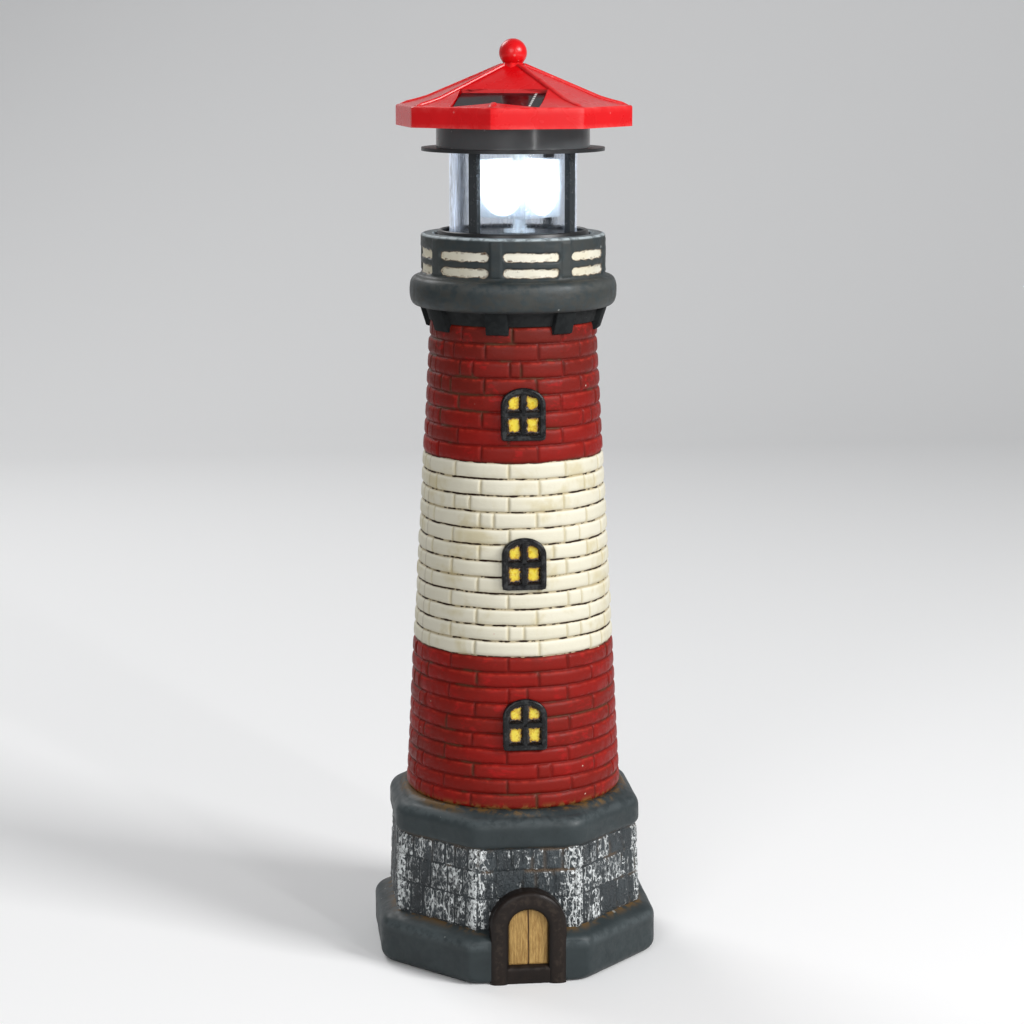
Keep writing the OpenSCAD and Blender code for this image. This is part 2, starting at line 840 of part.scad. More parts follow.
module lens_frame() color("#eef3f6")
    translate([rotor_x, 0, 0])
        rotate([0, 0, rotor_turn])
            difference() {
                translate([-frame_half, -frame_half, frame_floor_z])
                    cube([2 * frame_half, 2 * frame_half, frame_h]);
                translate([-frame_half + frame_wall, -frame_half + frame_wall, frame_floor_z + 1.2])
                    cube([2 * (frame_half - frame_wall), 2 * (frame_half - frame_wall), frame_h]);
                for (i = [0:3])
                    rotate([0, 0, 90 * i])
                        translate([0, -frame_half - 1, frame_z])
                            rotate([-90, 0, 0]) {
                                cylinder(r = lens_r + fit_gap, h = 1 + lens_seat, $fn = 64);
                                cylinder(r = lens_r - 1, h = 5, $fn = 64);
                            }
            }

// Bull's-eye lens: a domed middle with three stepped rings round it
module lens(i) color("#eaf4ff", 0.6)
    translate([rotor_x, 0, 0])
        rotate([0, 0, rotor_turn + 90 * i])
            translate([0, -frame_half + lens_seat, frame_z])
                rotate([90, 0, 0])
                    rotate_extrude($fn = 64)
                        polygon(lens_profile());

ring_count = 3;
eye_r = lens_r * 0.46;

function lens_profile() =
    let (step = (lens_r - 0.8 - eye_r) / ring_count)
        concat(
            [[0, 0], [lens_r, 0], [lens_r, lens_seat], [lens_r - 0.8, lens_seat]],
            [for (k = [ring_count - 1:-1:0]) each [
                [eye_r + step * (k + 1), lens_seat + 0.2],
                [eye_r + step * (k + 0.25), lens_seat + lens_bulge * (0.34 + 0.14 * (ring_count - k))],
                [eye_r + step * k + 0.05, lens_seat + lens_bulge * (0.34 + 0.14 * (ring_count - k))]
            ]],
            [for (a = [0:15:90]) [eye_r * cos(a), lens_seat + lens_bulge * (0.45 + 0.55 * sin(a))]]
        );

module lens_1() lens(0);
module lens_2() lens(1);
module lens_3() lens(2);
module lens_4() lens(3);

// ---------------------------------------------------------------- housing

ceiling_top_z = ceiling_z + ceiling_t;
roof_z = ceiling_top_z + housing_h;
housing_in_r = housing_r - shell - 0.4;
board_z = ceiling_top_z + 3.8;
board_t = 1.6;
board_w = 30;
board_len = 40;
board_y = -26;
standoff_x = 12;
standoff_y = 10;
standoffs = [[-standoff_x, standoff_y], [standoff_x, standoff_y]];
part_x = 8;
capacitor_h = 6;
coil_h = 4;
roof_screw_r = 24;
roof_screw_turns = [90, 180, 270];
roof_screw_d = 2.4;
roof_screw_len = 9;
roof_boss_d = 6.4;
switch_turn = 24.3;
switch_reach = 28.2;
knob_reach = 29.2;
knob_w = 4;
knob_travel = 2.4;
holder_d = 7;

module at_roof_screws() {
    for (turn = roof_screw_turns)
        translate([roof_screw_r * direction(turn)[0], roof_screw_r * direction(turn)[1], 0])
            children();
}

module ceiling_plate() color("#26292a") {
    difference() {
        union() {
            translate([0, 0, ceiling_z])
                cylinder(r = ceiling_r, h = ceiling_t, $fn = ROUND);
            translate([0, 0, ceiling_top_z - EPS])
                difference() {
                    cylinder(r = housing_in_r - fit_gap, h = 1.2, $fn = ROUND);
                    translate([0, 0, -1])
                        cylinder(r = housing_in_r - 1.2, h = 4, $fn = ROUND);
                    rotate([0, 0, switch_turn])
                        translate([-6, -housing_r, -1])
                            cube([12, 8, 4]);
                    for (i = [0:3])
                        rotate([0, 0, post_turn + 90 * i])
                            translate([-3, -housing_r, -1])
                                cube([6, 8, 4]);
                }
            for (p = standoffs)
                translate([p[0], p[1], ceiling_top_z - EPS])
                    cylinder(d = 4.4, h = board_z - ceiling_top_z + EPS, $fn = 32);
        }
        translate([0, 0, ceiling_z - 1])
            difference() {
                cylinder(r = tube_r + fit_gap, h = groove + 1, $fn = ROUND);
                translate([0, 0, -1])
                    cylinder(r = tube_r - tube_t - fit_gap, h = groove + 3, $fn = ROUND);
            }
        post_sockets_up();
        at_roof_screws() {
            translate([0, 0, ceiling_z - 1])
                cylinder(d = roof_screw_d + 2 * fit_gap, h = 4, $fn = 24);
            translate([0, 0, ceiling_z - 1])
                cylinder(d = 4.6, h = 1.6, $fn = 32);
        }
        translate([rotor_x, 0, ceiling_z - 1])
            cylinder(d = holder_d + 2 * fit_gap, h = 4, $fn = 48);
        for (p = standoffs)
            translate([p[0], p[1], ceiling_z + 0.6])
                cylinder(d = screw_d + 2 * fit_gap, h = 10, $fn = 24);
        rotate([0, 0, switch_turn])
            translate([-knob_w / 2 - loose_gap, -knob_reach - 1 - loose_gap, ceiling_z - 1])
                cube([knob_w + knob_travel + 2 * loose_gap, 2 + 2 * loose_gap, 4]);
    }
}

// Pockets for the posts' upper pegs
module post_sockets_up() {
    for (i = [0:3])
        rotate([0, 0, post_turn + 90 * i]) {
            translate([-peg_w / 2 - fit_gap, -post_reach - peg_t / 2 - fit_gap, ceiling_z - 1])
                cube([peg_w + 2 * fit_gap, peg_t + 2 * fit_gap, peg_h + 1]);
            translate([0, -post_reach, ceiling_z - 1])
                cylinder(d = lead_hole, h = 6, $fn = 24);
        }
}

module housing() color("#5b6062")
    translate([0, 0, ceiling_top_z])
        difference() {
            cylinder(r = housing_r, h = housing_h, $fn = ROUND);
            translate([0, 0, -1])
                cylinder(r = housing_in_r, h = housing_h + 2, $fn = ROUND);
        }

module circuit_board() color("darkgreen") {
    difference() {
        translate([-board_w / 2, board_y, board_z])
            cube([board_w, board_len, board_t]);
        for (p = standoffs)
            translate([p[0], p[1], board_z - 1])
                cylinder(d = screw_d + 2 * fit_gap, h = board_t + 2, $fn = 24);
        for (side = [-1, 1])
            translate([rotor_x + side * 1.27, 0, board_z - 1])
                cylinder(d = 0.8, h = board_t + 2, $fn = 16);
    }
    translate([-part_x, board_y + 12, board_z + board_t - EPS])
        cube([6, 4.4, 1.6]);
    translate([-part_x, board_y + 30, board_z + board_t - EPS])
        cylinder(d = 5, h = capacitor_h, $fn = 32);
    translate([part_x, board_y + 14, board_z + board_t - EPS])
        cylinder(d = 6.4, h = coil_h, $fn = 32);
}

module switch_body() color("silver")
    rotate([0, 0, switch_turn])
        difference() {
            translate([-4.3, -switch_reach - 1.9, ceiling_top_z])
                cube([8.6, 3.8, board_z - ceiling_top_z]);
            translate([-knob_w / 2 - loose_gap, -knob_reach - 0.6 - loose_gap, ceiling_top_z - 1])
                cube([knob_w + knob_travel + 2 * loose_gap, 1.2 + 2 * loose_gap, 3.4]);
        }

module switch_knob() color("#151617")
    rotate([0, 0, switch_turn]) {
        translate([-knob_w / 2, -knob_reach - 0.6, ceiling_z - 1.8])
            cube([knob_w, 1.2, ceiling_top_z - ceiling_z + 1.8 + 2.2]);
        translate([-knob_w / 2, -knob_reach - 1, ceiling_z - 1.8])
            cube([knob_w, 2, 1.8 + ceiling_t - 0.1]);
    }

led_d = 5;
led_tip_z = frame_z - 3.5;
led_base_z = led_tip_z + 8.6;

module led_holder() color("white")
    translate([rotor_x, 0, 0])
        difference() {
            union() {
                translate([0, 0, led_base_z - 2])
                    cylinder(d = holder_d, h = ceiling_top_z - led_base_z + 2, $fn = 48);
                translate([0, 0, ceiling_top_z])
                    cylinder(d = 10, h = 1, $fn = 48);
            }
            translate([0, 0, led_base_z - 3])
                cylinder(d = led_d + 2 * fit_gap, h = 3, $fn = 48);
            for (side = [-1, 1])
                translate([side * 1.27, 0, led_base_z - 1])
                    cylinder(d = 1, h = 40, $fn = 16);
        }

module led_bulb() color("white")
    translate([rotor_x, 0, 0]) {
        translate([0, 0, led_tip_z + led_d / 2])
            cylinder(d = led_d, h = led_base_z - led_tip_z - led_d / 2, $fn = 48);
        translate([0, 0, led_tip_z + led_d / 2])
            sphere(d = led_d, $fn = 48);
        for (side = [-1, 1])
            translate([side * 1.27, 0, led_base_z - EPS])
                cylinder(d = 0.6, h = board_z + board_t - led_base_z + 0.6, $fn = 16);
    }

// ---------------------------------------------------------------- roof

eave_z = roof_z;
rim_z = eave_z + fascia_h;
ball_z = rim_z + roof_rise;
neck_z = ball_z - ball_r + 0.8;
hip_run = roof_r - flare_run;
hip_z = rim_z + flare_h;
hip_top_r = ball_r - 0.75;
hip_slope = atan((neck_z - hip_z) / (hip_run - hip_top_r));

// Half of the roof's outline across two corners: upright edge, flared rim, straight hip
function roof_outline(drop, inset) = [
    [roof_r - inset, eave_z - drop],
    [roof_r - inset, rim_z - inset],
    [roof_r - 3.4, rim_z - drop + 0.1],
    [roof_r - flare_run / 2, rim_z - drop + 0.6],
    [hip_run, hip_z - drop],
    [hip_top_r, neck_z - drop],
    [0, neck_z - drop]
];

module roof_block() {
    rotate([0, 0, roof_turn - 90])
        rotate_extrude($fn = 8)
            polygon(concat([[0, eave_z]], roof_outline(0, 0)));
}

module roof_inside() {
    rotate([0, 0, roof_turn - 90])
        rotate_extrude($fn = 8)
            polygon(concat(
                [[0, eave_z - 1], [roof_r - roof_t, eave_z - 1]],
                [for (i = [1:6]) roof_outline(roof_t, roof_t)[i]]
            ));
}

pocket_back_z = neck_z - (pocket_back / cos(45) - hip_top_r) * tan(hip_slope);
tray_t = 1.6;

// Draws in the plane through the roof's front corner: X outwards, Y up
module in_front_plane(half_w) {
    rotate([0, 0, roof_turn - 90])
        rotate([90, 0, 0])
            translate([0, 0, -half_w])
                linear_extrude(2 * half_w)
                    children();
}

// Height of the panel's upper face at a distance from the axis
function panel_top(u) = pocket_back_z - 1.4 - (u - pocket_back) * tan(panel_slope);

pocket_front = pocket_back + panel_len * cos(panel_slope) + 0.6;

module roof_pocket() {
    in_front_plane(panel_w / 2 + loose_gap)
        polygon([
            [pocket_back, panel_top(pocket_back) - panel_t / cos(panel_slope)],
            [pocket_front, panel_top(pocket_front) - panel_t / cos(panel_slope)],
            [pocket_front, neck_z],
            [pocket_back, neck_z]
        ]);
    in_front_plane(40)
        polygon([
            [hip_top_r * cos(45), neck_z],
            [pocket_back + EPS, pocket_back_z],
            [pocket_back + EPS, neck_z + 5],
            [hip_top_r * cos(45), neck_z + 5]
        ]);
}

module panel_tray() {
    in_front_plane(panel_w / 2 + loose_gap + tray_t)
        polygon([
            [pocket_back - tray_t, panel_top(pocket_back) - panel_t - tray_t],
            [pocket_front + tray_t, panel_top(pocket_front) - panel_t - tray_t],
            [pocket_front + tray_t, neck_z],
            [pocket_back - tray_t, neck_z]
        ]);
}

// A rib runs down every corner but the front one, which the recess cuts away
module hip_ribs() {
    rib_w = 1.5;
    rib_out = 0.5;
    for (i = [1:7])
        rotate([0, 0, roof_turn - 90 + 45 * i])
            translate([hip_top_r, 0, neck_z])
                rotate([0, hip_slope, 0])
                    translate([0, -rib_w / 2, -rib_w])
                        cube([(hip_run - hip_top_r) / cos(hip_slope), rib_w, rib_w + rib_out]);
}

module roof() color("red") {
    difference() {
        union() {
            difference() {
                roof_block();
                roof_inside();
            }
            intersection() {
                roof_block();
                panel_tray();
            }
            intersection() {
                roof_block();
                union() {
                    translate([0, 0, eave_z])
                        difference() {
                            cylinder(r = housing_r, h = neck_z - eave_z, $fn = ROUND);
                            translate([0, 0, -1])
                                cylinder(r = housing_in_r, h = neck_z - eave_z + 2, $fn = ROUND);
                        }
                    at_roof_screws()
                        translate([0, 0, eave_z])
                            cylinder(d = roof_boss_d, h = neck_z - eave_z, $fn = 32);
                }
            }
            at_roof_screws()
                translate([0, 0, ceiling_top_z])
                    cylinder(d = roof_boss_d, h = housing_h + 4, $fn = 32);
        }
        roof_pocket();
        at_roof_screws()
            translate([0, 0, ceiling_top_z - 1])
                cylinder(d = roof_screw_d + 2 * fit_gap, h = roof_screw_len + 3, $fn = 24);
        lead_exit();
    }
    hip_ribs();
    translate([0, 0, neck_z - 1])
        cylinder(r = 4.2, h = 3, $fn = 48);
    translate([0, 0, ball_z])
        sphere(r = ball_r, $fn = 64);
}

// Hole in the recess floor for the panel's leads
lead_u = pocket_back + 3.6;
module lead_exit() {
    rotate([0, 0, roof_turn - 90])
        translate([lead_u, 0, board_z + board_t + 4])
            cylinder(d = 4, h = 20, $fn = 32);
}

module solar_panel() color("#0a0c10")
    in_front_plane(panel_w / 2)
        polygon([
            [pocket_back + 0.2, panel_top(pocket_back + 0.2) - panel_t + 0.1],
            [pocket_front - 0.2, panel_top(pocket_front - 0.2) - panel_t + 0.1],
            [pocket_front - 0.2, panel_top(pocket_front - 0.2)],
            [pocket_back + 0.2, panel_top(pocket_back + 0.2)]
        ]);

// ---------------------------------------------------------------- leads and screws

function unit(v) = v / norm(v);

// A ring of points round the first stretch, then carried along to each bend's mitre plane
function first_ring(a, b, d, sides) =
    let (
        t = unit(b - a),
        side = unit(cross(t, abs(t[2]) < 0.7 ? [0, 0, 1] : [1, 0, 0])),
        up = cross(side, t)
    )
        [for (k = [0:sides - 1]) a + d / 2 * (side * cos(360 * k / sides) + up * sin(360 * k / sides))];

function carry(ring, from, at, next) =
    let (t = unit(at - from), n = unit(t + unit(next - at)))
        [for (v = ring) v + t * ((at - v) * n) / (t * n)];

function rings(points, i, d, sides) =
    i == 0 ? [first_ring(points[0], points[1], d, sides)] :
    let (before = rings(points, i - 1, d, sides), last = i == len(points) - 1)
        concat(before, [carry(
            before[i - 1], points[i - 1], points[i],
            last ? 2 * points[i] - points[i - 1] : points[i + 1]
        )]);

// A round lead along a few points, mitred at the bends
module lead(points, d = lead_d) {
    sides = 10;
    count = len(points);
    skin = [
        for (i = [0:count - 2])
            for (k = [0:sides - 1])
                let (a = i * sides, b = a + sides, next = (k + 1) % sides)
                    [a + k, b + k, b + next, a + next]
    ];
    caps = [[for (k = [0:sides - 1]) k], [for (k = [sides - 1:-1:0]) (count - 1) * sides + k]];
    ring_points = [for (ring = rings(points, count - 1, d, sides)) each ring];
    polyhedron(ring_points, concat(skin, caps), convexity = 8);
}

module panel_leads() color("crimson")
    for (side = [-1, 1]) {
        exit = lead_u * direction(roof_turn) + side * 0.9 * direction(roof_turn + 90);
        lead([
            [exit[0], exit[1], panel_top(lead_u) - panel_t - 0.1],
            [exit[0], exit[1], board_z + board_t + 3],
            [side * 1.2 - 4, board_y + 6, board_z + board_t + 2],
            [side * 1.2 - 4, board_y + 6, board_z + board_t]
        ], 1);
    }

// From the board over and down inside a rear post, then round the bay to the edge of a contact
module board_lead(i, side) {
    p = post_reach * direction(post_turn + 90 * i);
    edge_x = side * (board_w / 2 - 1.2);
    contact_x = side * (bay_len - contact_t) / 2;
    contact_y = bay_y + contact_w / 2;
    over_z = board_z + board_t + 2;
    under_z = plate_z - 3;
    corner_x = battery_len / 2 + 0.55;
    corner_y = sqrt(pow(base_in_r - lead_d / 2 - 0.25, 2) - pow(corner_x, 2));
    lead([
        [edge_x, 2, board_z + board_t],
        [edge_x, 2, over_z],
        [p[0], p[1], over_z],
        [p[0], p[1], under_z],
        [side * corner_x, corner_y, under_z],
        [contact_x, contact_y + 4, under_z],
        [contact_x, contact_y, under_z]
    ]);
}

module lead_positive() color("crimson")
    board_lead(1, 1);

module lead_negative() color("#222222")
    board_lead(2, -1);

// A pan-head screw standing on its point, head up
module screw(d, len, head_d, head_h) {
    cylinder(d = d, h = len + EPS, $fn = 24);
    translate([0, 0, len])
        difference() {
            cylinder(d = head_d, h = head_h, $fn = 32);
            translate([-head_d / 2 + 0.5, -0.25, head_h - 0.5])
                cube([head_d - 1, 0.5, 1]);
            translate([-0.25, -head_d / 2 + 0.5, head_h - 0.5])
                cube([0.5, head_d - 1, 1]);
        }
}

module small_screws() color("silver") {
    at_bosses() {
        translate([0, 0, cover_z + 1 + screw_len])
            rotate([180, 0, 0])
                screw(screw_d, screw_len, 3.6, 1);
        translate([0, 0, plate_z + plate_t - screw_len])
            screw(screw_d, screw_len, 3.6, 1);
    }
    for (p = standoffs)
        translate([p[0], p[1], board_z + board_t - 4.4])
            screw(screw_d, 4.4, 3.6, 1);
}

module roof_screws() color("silver")
    at_roof_screws()
        translate([0, 0, ceiling_z + 0.6 + roof_screw_len])
            rotate([180, 0, 0])
                screw(roof_screw_d, roof_screw_len, 4.2, 0.6);

tower();
lamp_base();
base_cover();
battery_door();
battery();
contact_plate();
contact_spring();
drive_plate();
motor();
motor_shaft();
motor_pinion();
lantern_floor();
rotor_bush();
rotor_shaft();
rotor_gear();
rotor_hub();
lens_frame();
lens_1();
lens_2();
lens_3();
lens_4();
lantern_tube();
lantern_post_1();
lantern_post_2();
lantern_post_3();
lantern_post_4();
ceiling_plate();
housing();
circuit_board();
switch_body();
switch_knob();
led_holder();
led_bulb();
roof();
solar_panel();
panel_leads();
lead_positive();
lead_negative();
small_screws();
roof_screws();
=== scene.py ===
"""Dresses the garden lighthouse ornament: painted casting, red roof and clear solar lantern.

Lengths are in millimetres and are turned into metres when a mesh is made. The lamps' places and
sizes are in metres. A turn is an angle in degrees from the door's side (-Y) towards +X.
"""

from __future__ import annotations

import logging
import math
from dataclasses import dataclass, field
from enum import Enum
from inspect import signature
from itertools import product
from typing import Callable, Sequence

import bpy
import numpy as np
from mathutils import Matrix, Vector

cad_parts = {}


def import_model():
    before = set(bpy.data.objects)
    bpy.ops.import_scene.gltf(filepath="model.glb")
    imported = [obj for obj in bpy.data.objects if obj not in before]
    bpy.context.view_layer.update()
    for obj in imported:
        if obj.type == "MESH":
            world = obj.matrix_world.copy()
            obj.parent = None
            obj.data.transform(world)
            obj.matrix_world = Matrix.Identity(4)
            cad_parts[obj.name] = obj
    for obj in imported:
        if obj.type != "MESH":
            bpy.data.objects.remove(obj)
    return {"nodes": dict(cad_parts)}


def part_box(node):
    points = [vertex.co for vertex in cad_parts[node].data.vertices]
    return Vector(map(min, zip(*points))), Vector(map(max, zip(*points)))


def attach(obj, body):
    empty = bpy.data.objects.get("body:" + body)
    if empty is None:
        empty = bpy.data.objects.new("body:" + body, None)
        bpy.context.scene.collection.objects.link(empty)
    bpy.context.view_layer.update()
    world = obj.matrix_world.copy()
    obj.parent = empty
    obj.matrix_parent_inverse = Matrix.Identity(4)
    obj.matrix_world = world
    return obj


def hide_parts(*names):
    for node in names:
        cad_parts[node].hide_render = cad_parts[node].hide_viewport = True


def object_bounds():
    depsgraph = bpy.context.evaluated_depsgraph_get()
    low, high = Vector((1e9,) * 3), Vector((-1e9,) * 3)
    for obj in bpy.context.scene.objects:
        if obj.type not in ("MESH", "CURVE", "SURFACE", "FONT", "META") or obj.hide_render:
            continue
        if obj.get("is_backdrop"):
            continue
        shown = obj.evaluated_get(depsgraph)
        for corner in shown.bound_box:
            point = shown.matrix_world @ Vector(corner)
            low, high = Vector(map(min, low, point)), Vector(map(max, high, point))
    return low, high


LOG = logging.getLogger("lighthouse")
MM = 0.001
SIDE = 45.0
HALF_SIDE = math.radians(22.5)
Array = np.ndarray
Colour = tuple[float, float, float]
Outline = Sequence[tuple[float, float]]
Object = bpy.types.Object


class Body(str, Enum):
    """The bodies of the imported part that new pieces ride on."""

    TOWER = "tower"
    LAMP = "lamp_head"


def srgb(*levels: int) -> Colour:
    """The linear colour that a shader takes, from 8-bit screen levels of red, green and blue."""
    shares = (level / 255.0 for level in levels)
    return tuple(v / 12.92 if v <= 0.04045 else ((v + 0.055) / 1.055) ** 2.4 for v in shares)


def dim(colour: Colour, share: float) -> Colour:
    """A colour at a share of its strength."""
    return tuple(c * share for c in colour)


# ------------------------------------------------------------------ noise and outlines in numbers


def lattice(points: Array, size: float, seed: int) -> Array:
    """Smooth noise between -1 and 1 on points in space.

    Args:
        points: Positions, one row of three numbers each.
        size: Width of one lump of the noise.
        seed: Picks one of many unlike noises.

    Returns:
        One number for each point.
    """
    p = points / size + seed * 17.13
    base = np.floor(p).astype(np.int64)
    f = p - base
    f = f * f * (3 - 2 * f)
    total = np.zeros(len(points))
    for step in product((0, 1), repeat=3):
        x, y, z = (base + step).T
        h = (x * 73856093) ^ (y * 19349663) ^ (z * 83492791) ^ (seed * 2654435)
        h = (h ^ (h >> 13)) * 1274126177
        h = (h ^ (h >> 16)) & 0xFFFF
        w = np.where(step, f, 1 - f)
        total += w[:, 0] * w[:, 1] * w[:, 2] * (h / 32767.5 - 1)
    return total


def rough(points: Array, size: float, seed: int, octaves: int = 3) -> Array:
    """Layers of noise, each half as wide and half as strong as the one before.

    Args:
        points: Positions, in an array of any shape with three numbers last.
        size: Width of the widest lumps.
        seed: Picks one of many unlike noises.
        octaves: Number of layers.

    Returns:
        One number for each point, mostly between -1 and 1.
    """
    flat = points.reshape(-1, 3)
    total = sum(lattice(flat, size / 2**k, seed + k) * 0.5**k for k in range(octaves))
    return (total / (2 - 0.5 ** (octaves - 1))).reshape(points.shape[:-1])


def rise(value: Array, low: float, high: float) -> Array:
    """A smooth step from 0 at low to 1 at high."""
    t = np.clip((value - low) / (high - low), 0, 1)
    return t * t * (3 - 2 * t)


def bell(value: Array, width: float) -> Array:
    """A bump of height 1 round 0."""
    return np.exp(-((value / width) ** 2))


def arc(cx: float, cy: float, r: float, start: float, stop: float, steps: int) -> Outline:
    """Points of an arc round (cx, cy), from one angle in degrees to another."""
    angles = [math.radians(start + (stop - start) * i / steps) for i in range(steps + 1)]
    return [(cx + r * math.cos(a), cy + r * math.sin(a)) for a in angles]


def evened(outline: Outline, step: float) -> Array:
    """An outline with extra points, so that no stretch is longer than a step.

    Args:
        outline: The corner points.
        step: Longest stretch that stays.

    Returns:
        The points, one row each.
    """
    out = [outline[0]]
    for (ax, ay), (bx, by) in zip(outline, outline[1:]):
        count = max(1, math.ceil(math.hypot(bx - ax, by - ay) / step))
        out += [(ax + (bx - ax) * i / count, ay + (by - ay) * i / count) for i in range(1, count + 1)]
    return np.array(out)


def heading(turn: Array | float) -> Array:
    """Unit directions in plan for turns in degrees from the door's side."""
    a = np.radians(turn)
    return np.stack([np.sin(a), -np.cos(a)], axis=-1)


def around(columns: int) -> Array:
    """The turns of columns spread over a full turn."""
    return np.arange(columns) * 360.0 / columns


def space(x: Array | float, y: Array | float, z: Array | float) -> Array:
    """Points from coordinates that are spread to one shape."""
    return np.stack(np.broadcast_arrays(x, y, z), axis=-1).astype(float)


def raised(plan: Array, z: Array | float) -> Array:
    """Points over places in plan."""
    return space(plan[..., 0], plan[..., 1], z)


def revolve(outline: Array, columns: int) -> Array:
    """A grid of points round the tower's axis, with a row for each radius and height."""
    return raised(outline[:, 0, None, None] * heading(around(columns)), outline[:, 1, None])


def octagon_columns(flat_steps: int, corner_steps: int) -> Array:
    """Columns round an octagon with rounded corners.

    Args:
        flat_steps: Stretches along each flat side.
        corner_steps: Stretches round each corner.

    Returns:
        For each column the side's turn, the place along the side from -1 to 1, and the corner's turn.
    """
    flat = [(-1 + 2 * i / flat_steps, 0.0) for i in range(flat_steps)]
    corner = [(1.0, SIDE * i / corner_steps) for i in range(corner_steps)]
    return np.array([(SIDE * side, *place) for side in range(8) for place in flat + corner])


def octagons(rows: Array, fillets: Array, columns: Array) -> tuple[Array, Array]:
    """Stacks octagons into a grid.

    Args:
        rows: Corner radius and height of each row.
        fillets: Corner rounding of each row.
        columns: What octagon_columns gave.

    Returns:
        The grid of points, and each column's outward direction in plan.
    """
    turn, place, bend = columns.T
    bend = np.radians(bend)[:, None]
    out, along = heading(turn), heading(turn + 90)
    ways = out * np.cos(bend) + along * np.sin(bend)
    inner = (rows[:, 0] * math.cos(HALF_SIDE) - fillets)[:, None]
    side = (inner * math.tan(HALF_SIDE) * place)[..., None]
    plan = out * inner[..., None] + along * side + ways * fillets[:, None, None]
    return raised(plan, rows[:, 1, None]), ways


def sweep(path: Array, ways: Array, across: Array, out: Array) -> Array:
    """A grid of points for a section carried along an upright path in the XZ plane.

    Args:
        path: Points of the path, X and Z.
        ways: For each point the direction in the plane towards the section's positive side.
        across: Offset along that direction, for each column or each point.
        out: How far each column lies towards -Y.

    Returns:
        Points with a row for each path point and a column for each point of the section.
    """
    x, z = (path[:, k, None] + ways[:, k, None] * across for k in (0, 1))
    return space(x, -out, z)


def arch_path(width: float, height: float, crown: float, step: float, closed: bool = False) -> tuple[Array, Array]:
    """The line of an arch, from its left foot over the crown to its right foot.

    Args:
        width: Distance between the feet.
        height: Height of the crown.
        crown: Height of the elliptical top.
        step: Longest stretch.
        closed: True to come back along the sill.

    Returns:
        The points, X and Z, and for each the outward direction.
    """
    half, angles = width / 2, np.radians(np.linspace(180, 0, 33))
    top = [(half * math.cos(a), height - crown + crown * math.sin(a)) for a in angles]
    path = evened([(-half, 0.0), *top, (half, 0.0), *[(-half, 0.0)] * closed], step)
    tangent = np.gradient(path, axis=0)
    if closed:
        path = path[:-1]
        tangent = np.roll(path, -1, axis=0) - np.roll(path, 1, axis=0)
    tangent /= np.linalg.norm(tangent, axis=1, keepdims=True)
    return path, np.stack([-tangent[:, 1], tangent[:, 0]], axis=-1)


def link(name: str, data: bpy.types.ID) -> Object:
    """Makes an object of a mesh, camera or light.

    Args:
        name: Name of the object.
        data: What it holds.

    Returns:
        The object, in the scene.
    """
    obj = bpy.data.objects.new(name, data)
    bpy.context.scene.collection.objects.link(obj)
    return obj


@dataclass
class Shape:
    """A mesh in the making: points, faces, and numbers on the points that the paint reads."""

    points: list[Array] = field(default_factory=list)
    faces: list[list[int]] = field(default_factory=list)
    values: dict[str, list[Array]] = field(default_factory=dict)
    count: int = 0

    def sheet(self, grid: Array, wrap: bool = False, **values: Array | float) -> Shape:
        """Adds a skin over a grid of points, rows upwards and columns to the right seen from outside.

        Args:
            grid: Points in rows and columns.
            wrap: True where the last column meets the first.
            **values: Numbers for the paint, by name, that can be spread over the grid.

        Returns:
            The shape itself.
        """
        index = np.arange(grid[..., 0].size).reshape(grid.shape[:2]) + self.count
        left, right = (index, np.roll(index, -1, axis=1)) if wrap else (index[:, :-1], index[:, 1:])
        self.faces += np.stack([left[:-1], right[:-1], right[1:], left[1:]], axis=-1).reshape(-1, 4).tolist()
        for name in {**self.values, **values}:
            rows = self.values.setdefault(name, [np.zeros(self.count)])
            rows.append(np.broadcast_to(values.get(name, 0.0), index.shape).ravel())
        self.points.append(grid.reshape(-1, 3))
        self.count += index.size
        return self

    def make(self, name: str, crease: float | None = None) -> Object:
        """Turns the shape into an object.

        Args:
            name: Name of the object and its mesh.
            crease: Edges that bend by more degrees than this stay sharp, or None for none.

        Returns:
            The object, linked to the scene.
        """
        mesh = bpy.data.meshes.new(name)
        mesh.from_pydata((np.concatenate(self.points) * MM).tolist(), [], self.faces, shade_flat=False)
        for key, rows in self.values.items():
            data = mesh.attributes.new(key, "FLOAT", "POINT").data
            data.foreach_set("value", np.concatenate(rows).astype(np.float32))
        mesh.validate()
        if crease is not None:
            mesh.set_sharp_from_angle(angle=math.radians(crease))
        return link(name, mesh)


# ------------------------------------------------------------------ shader trees


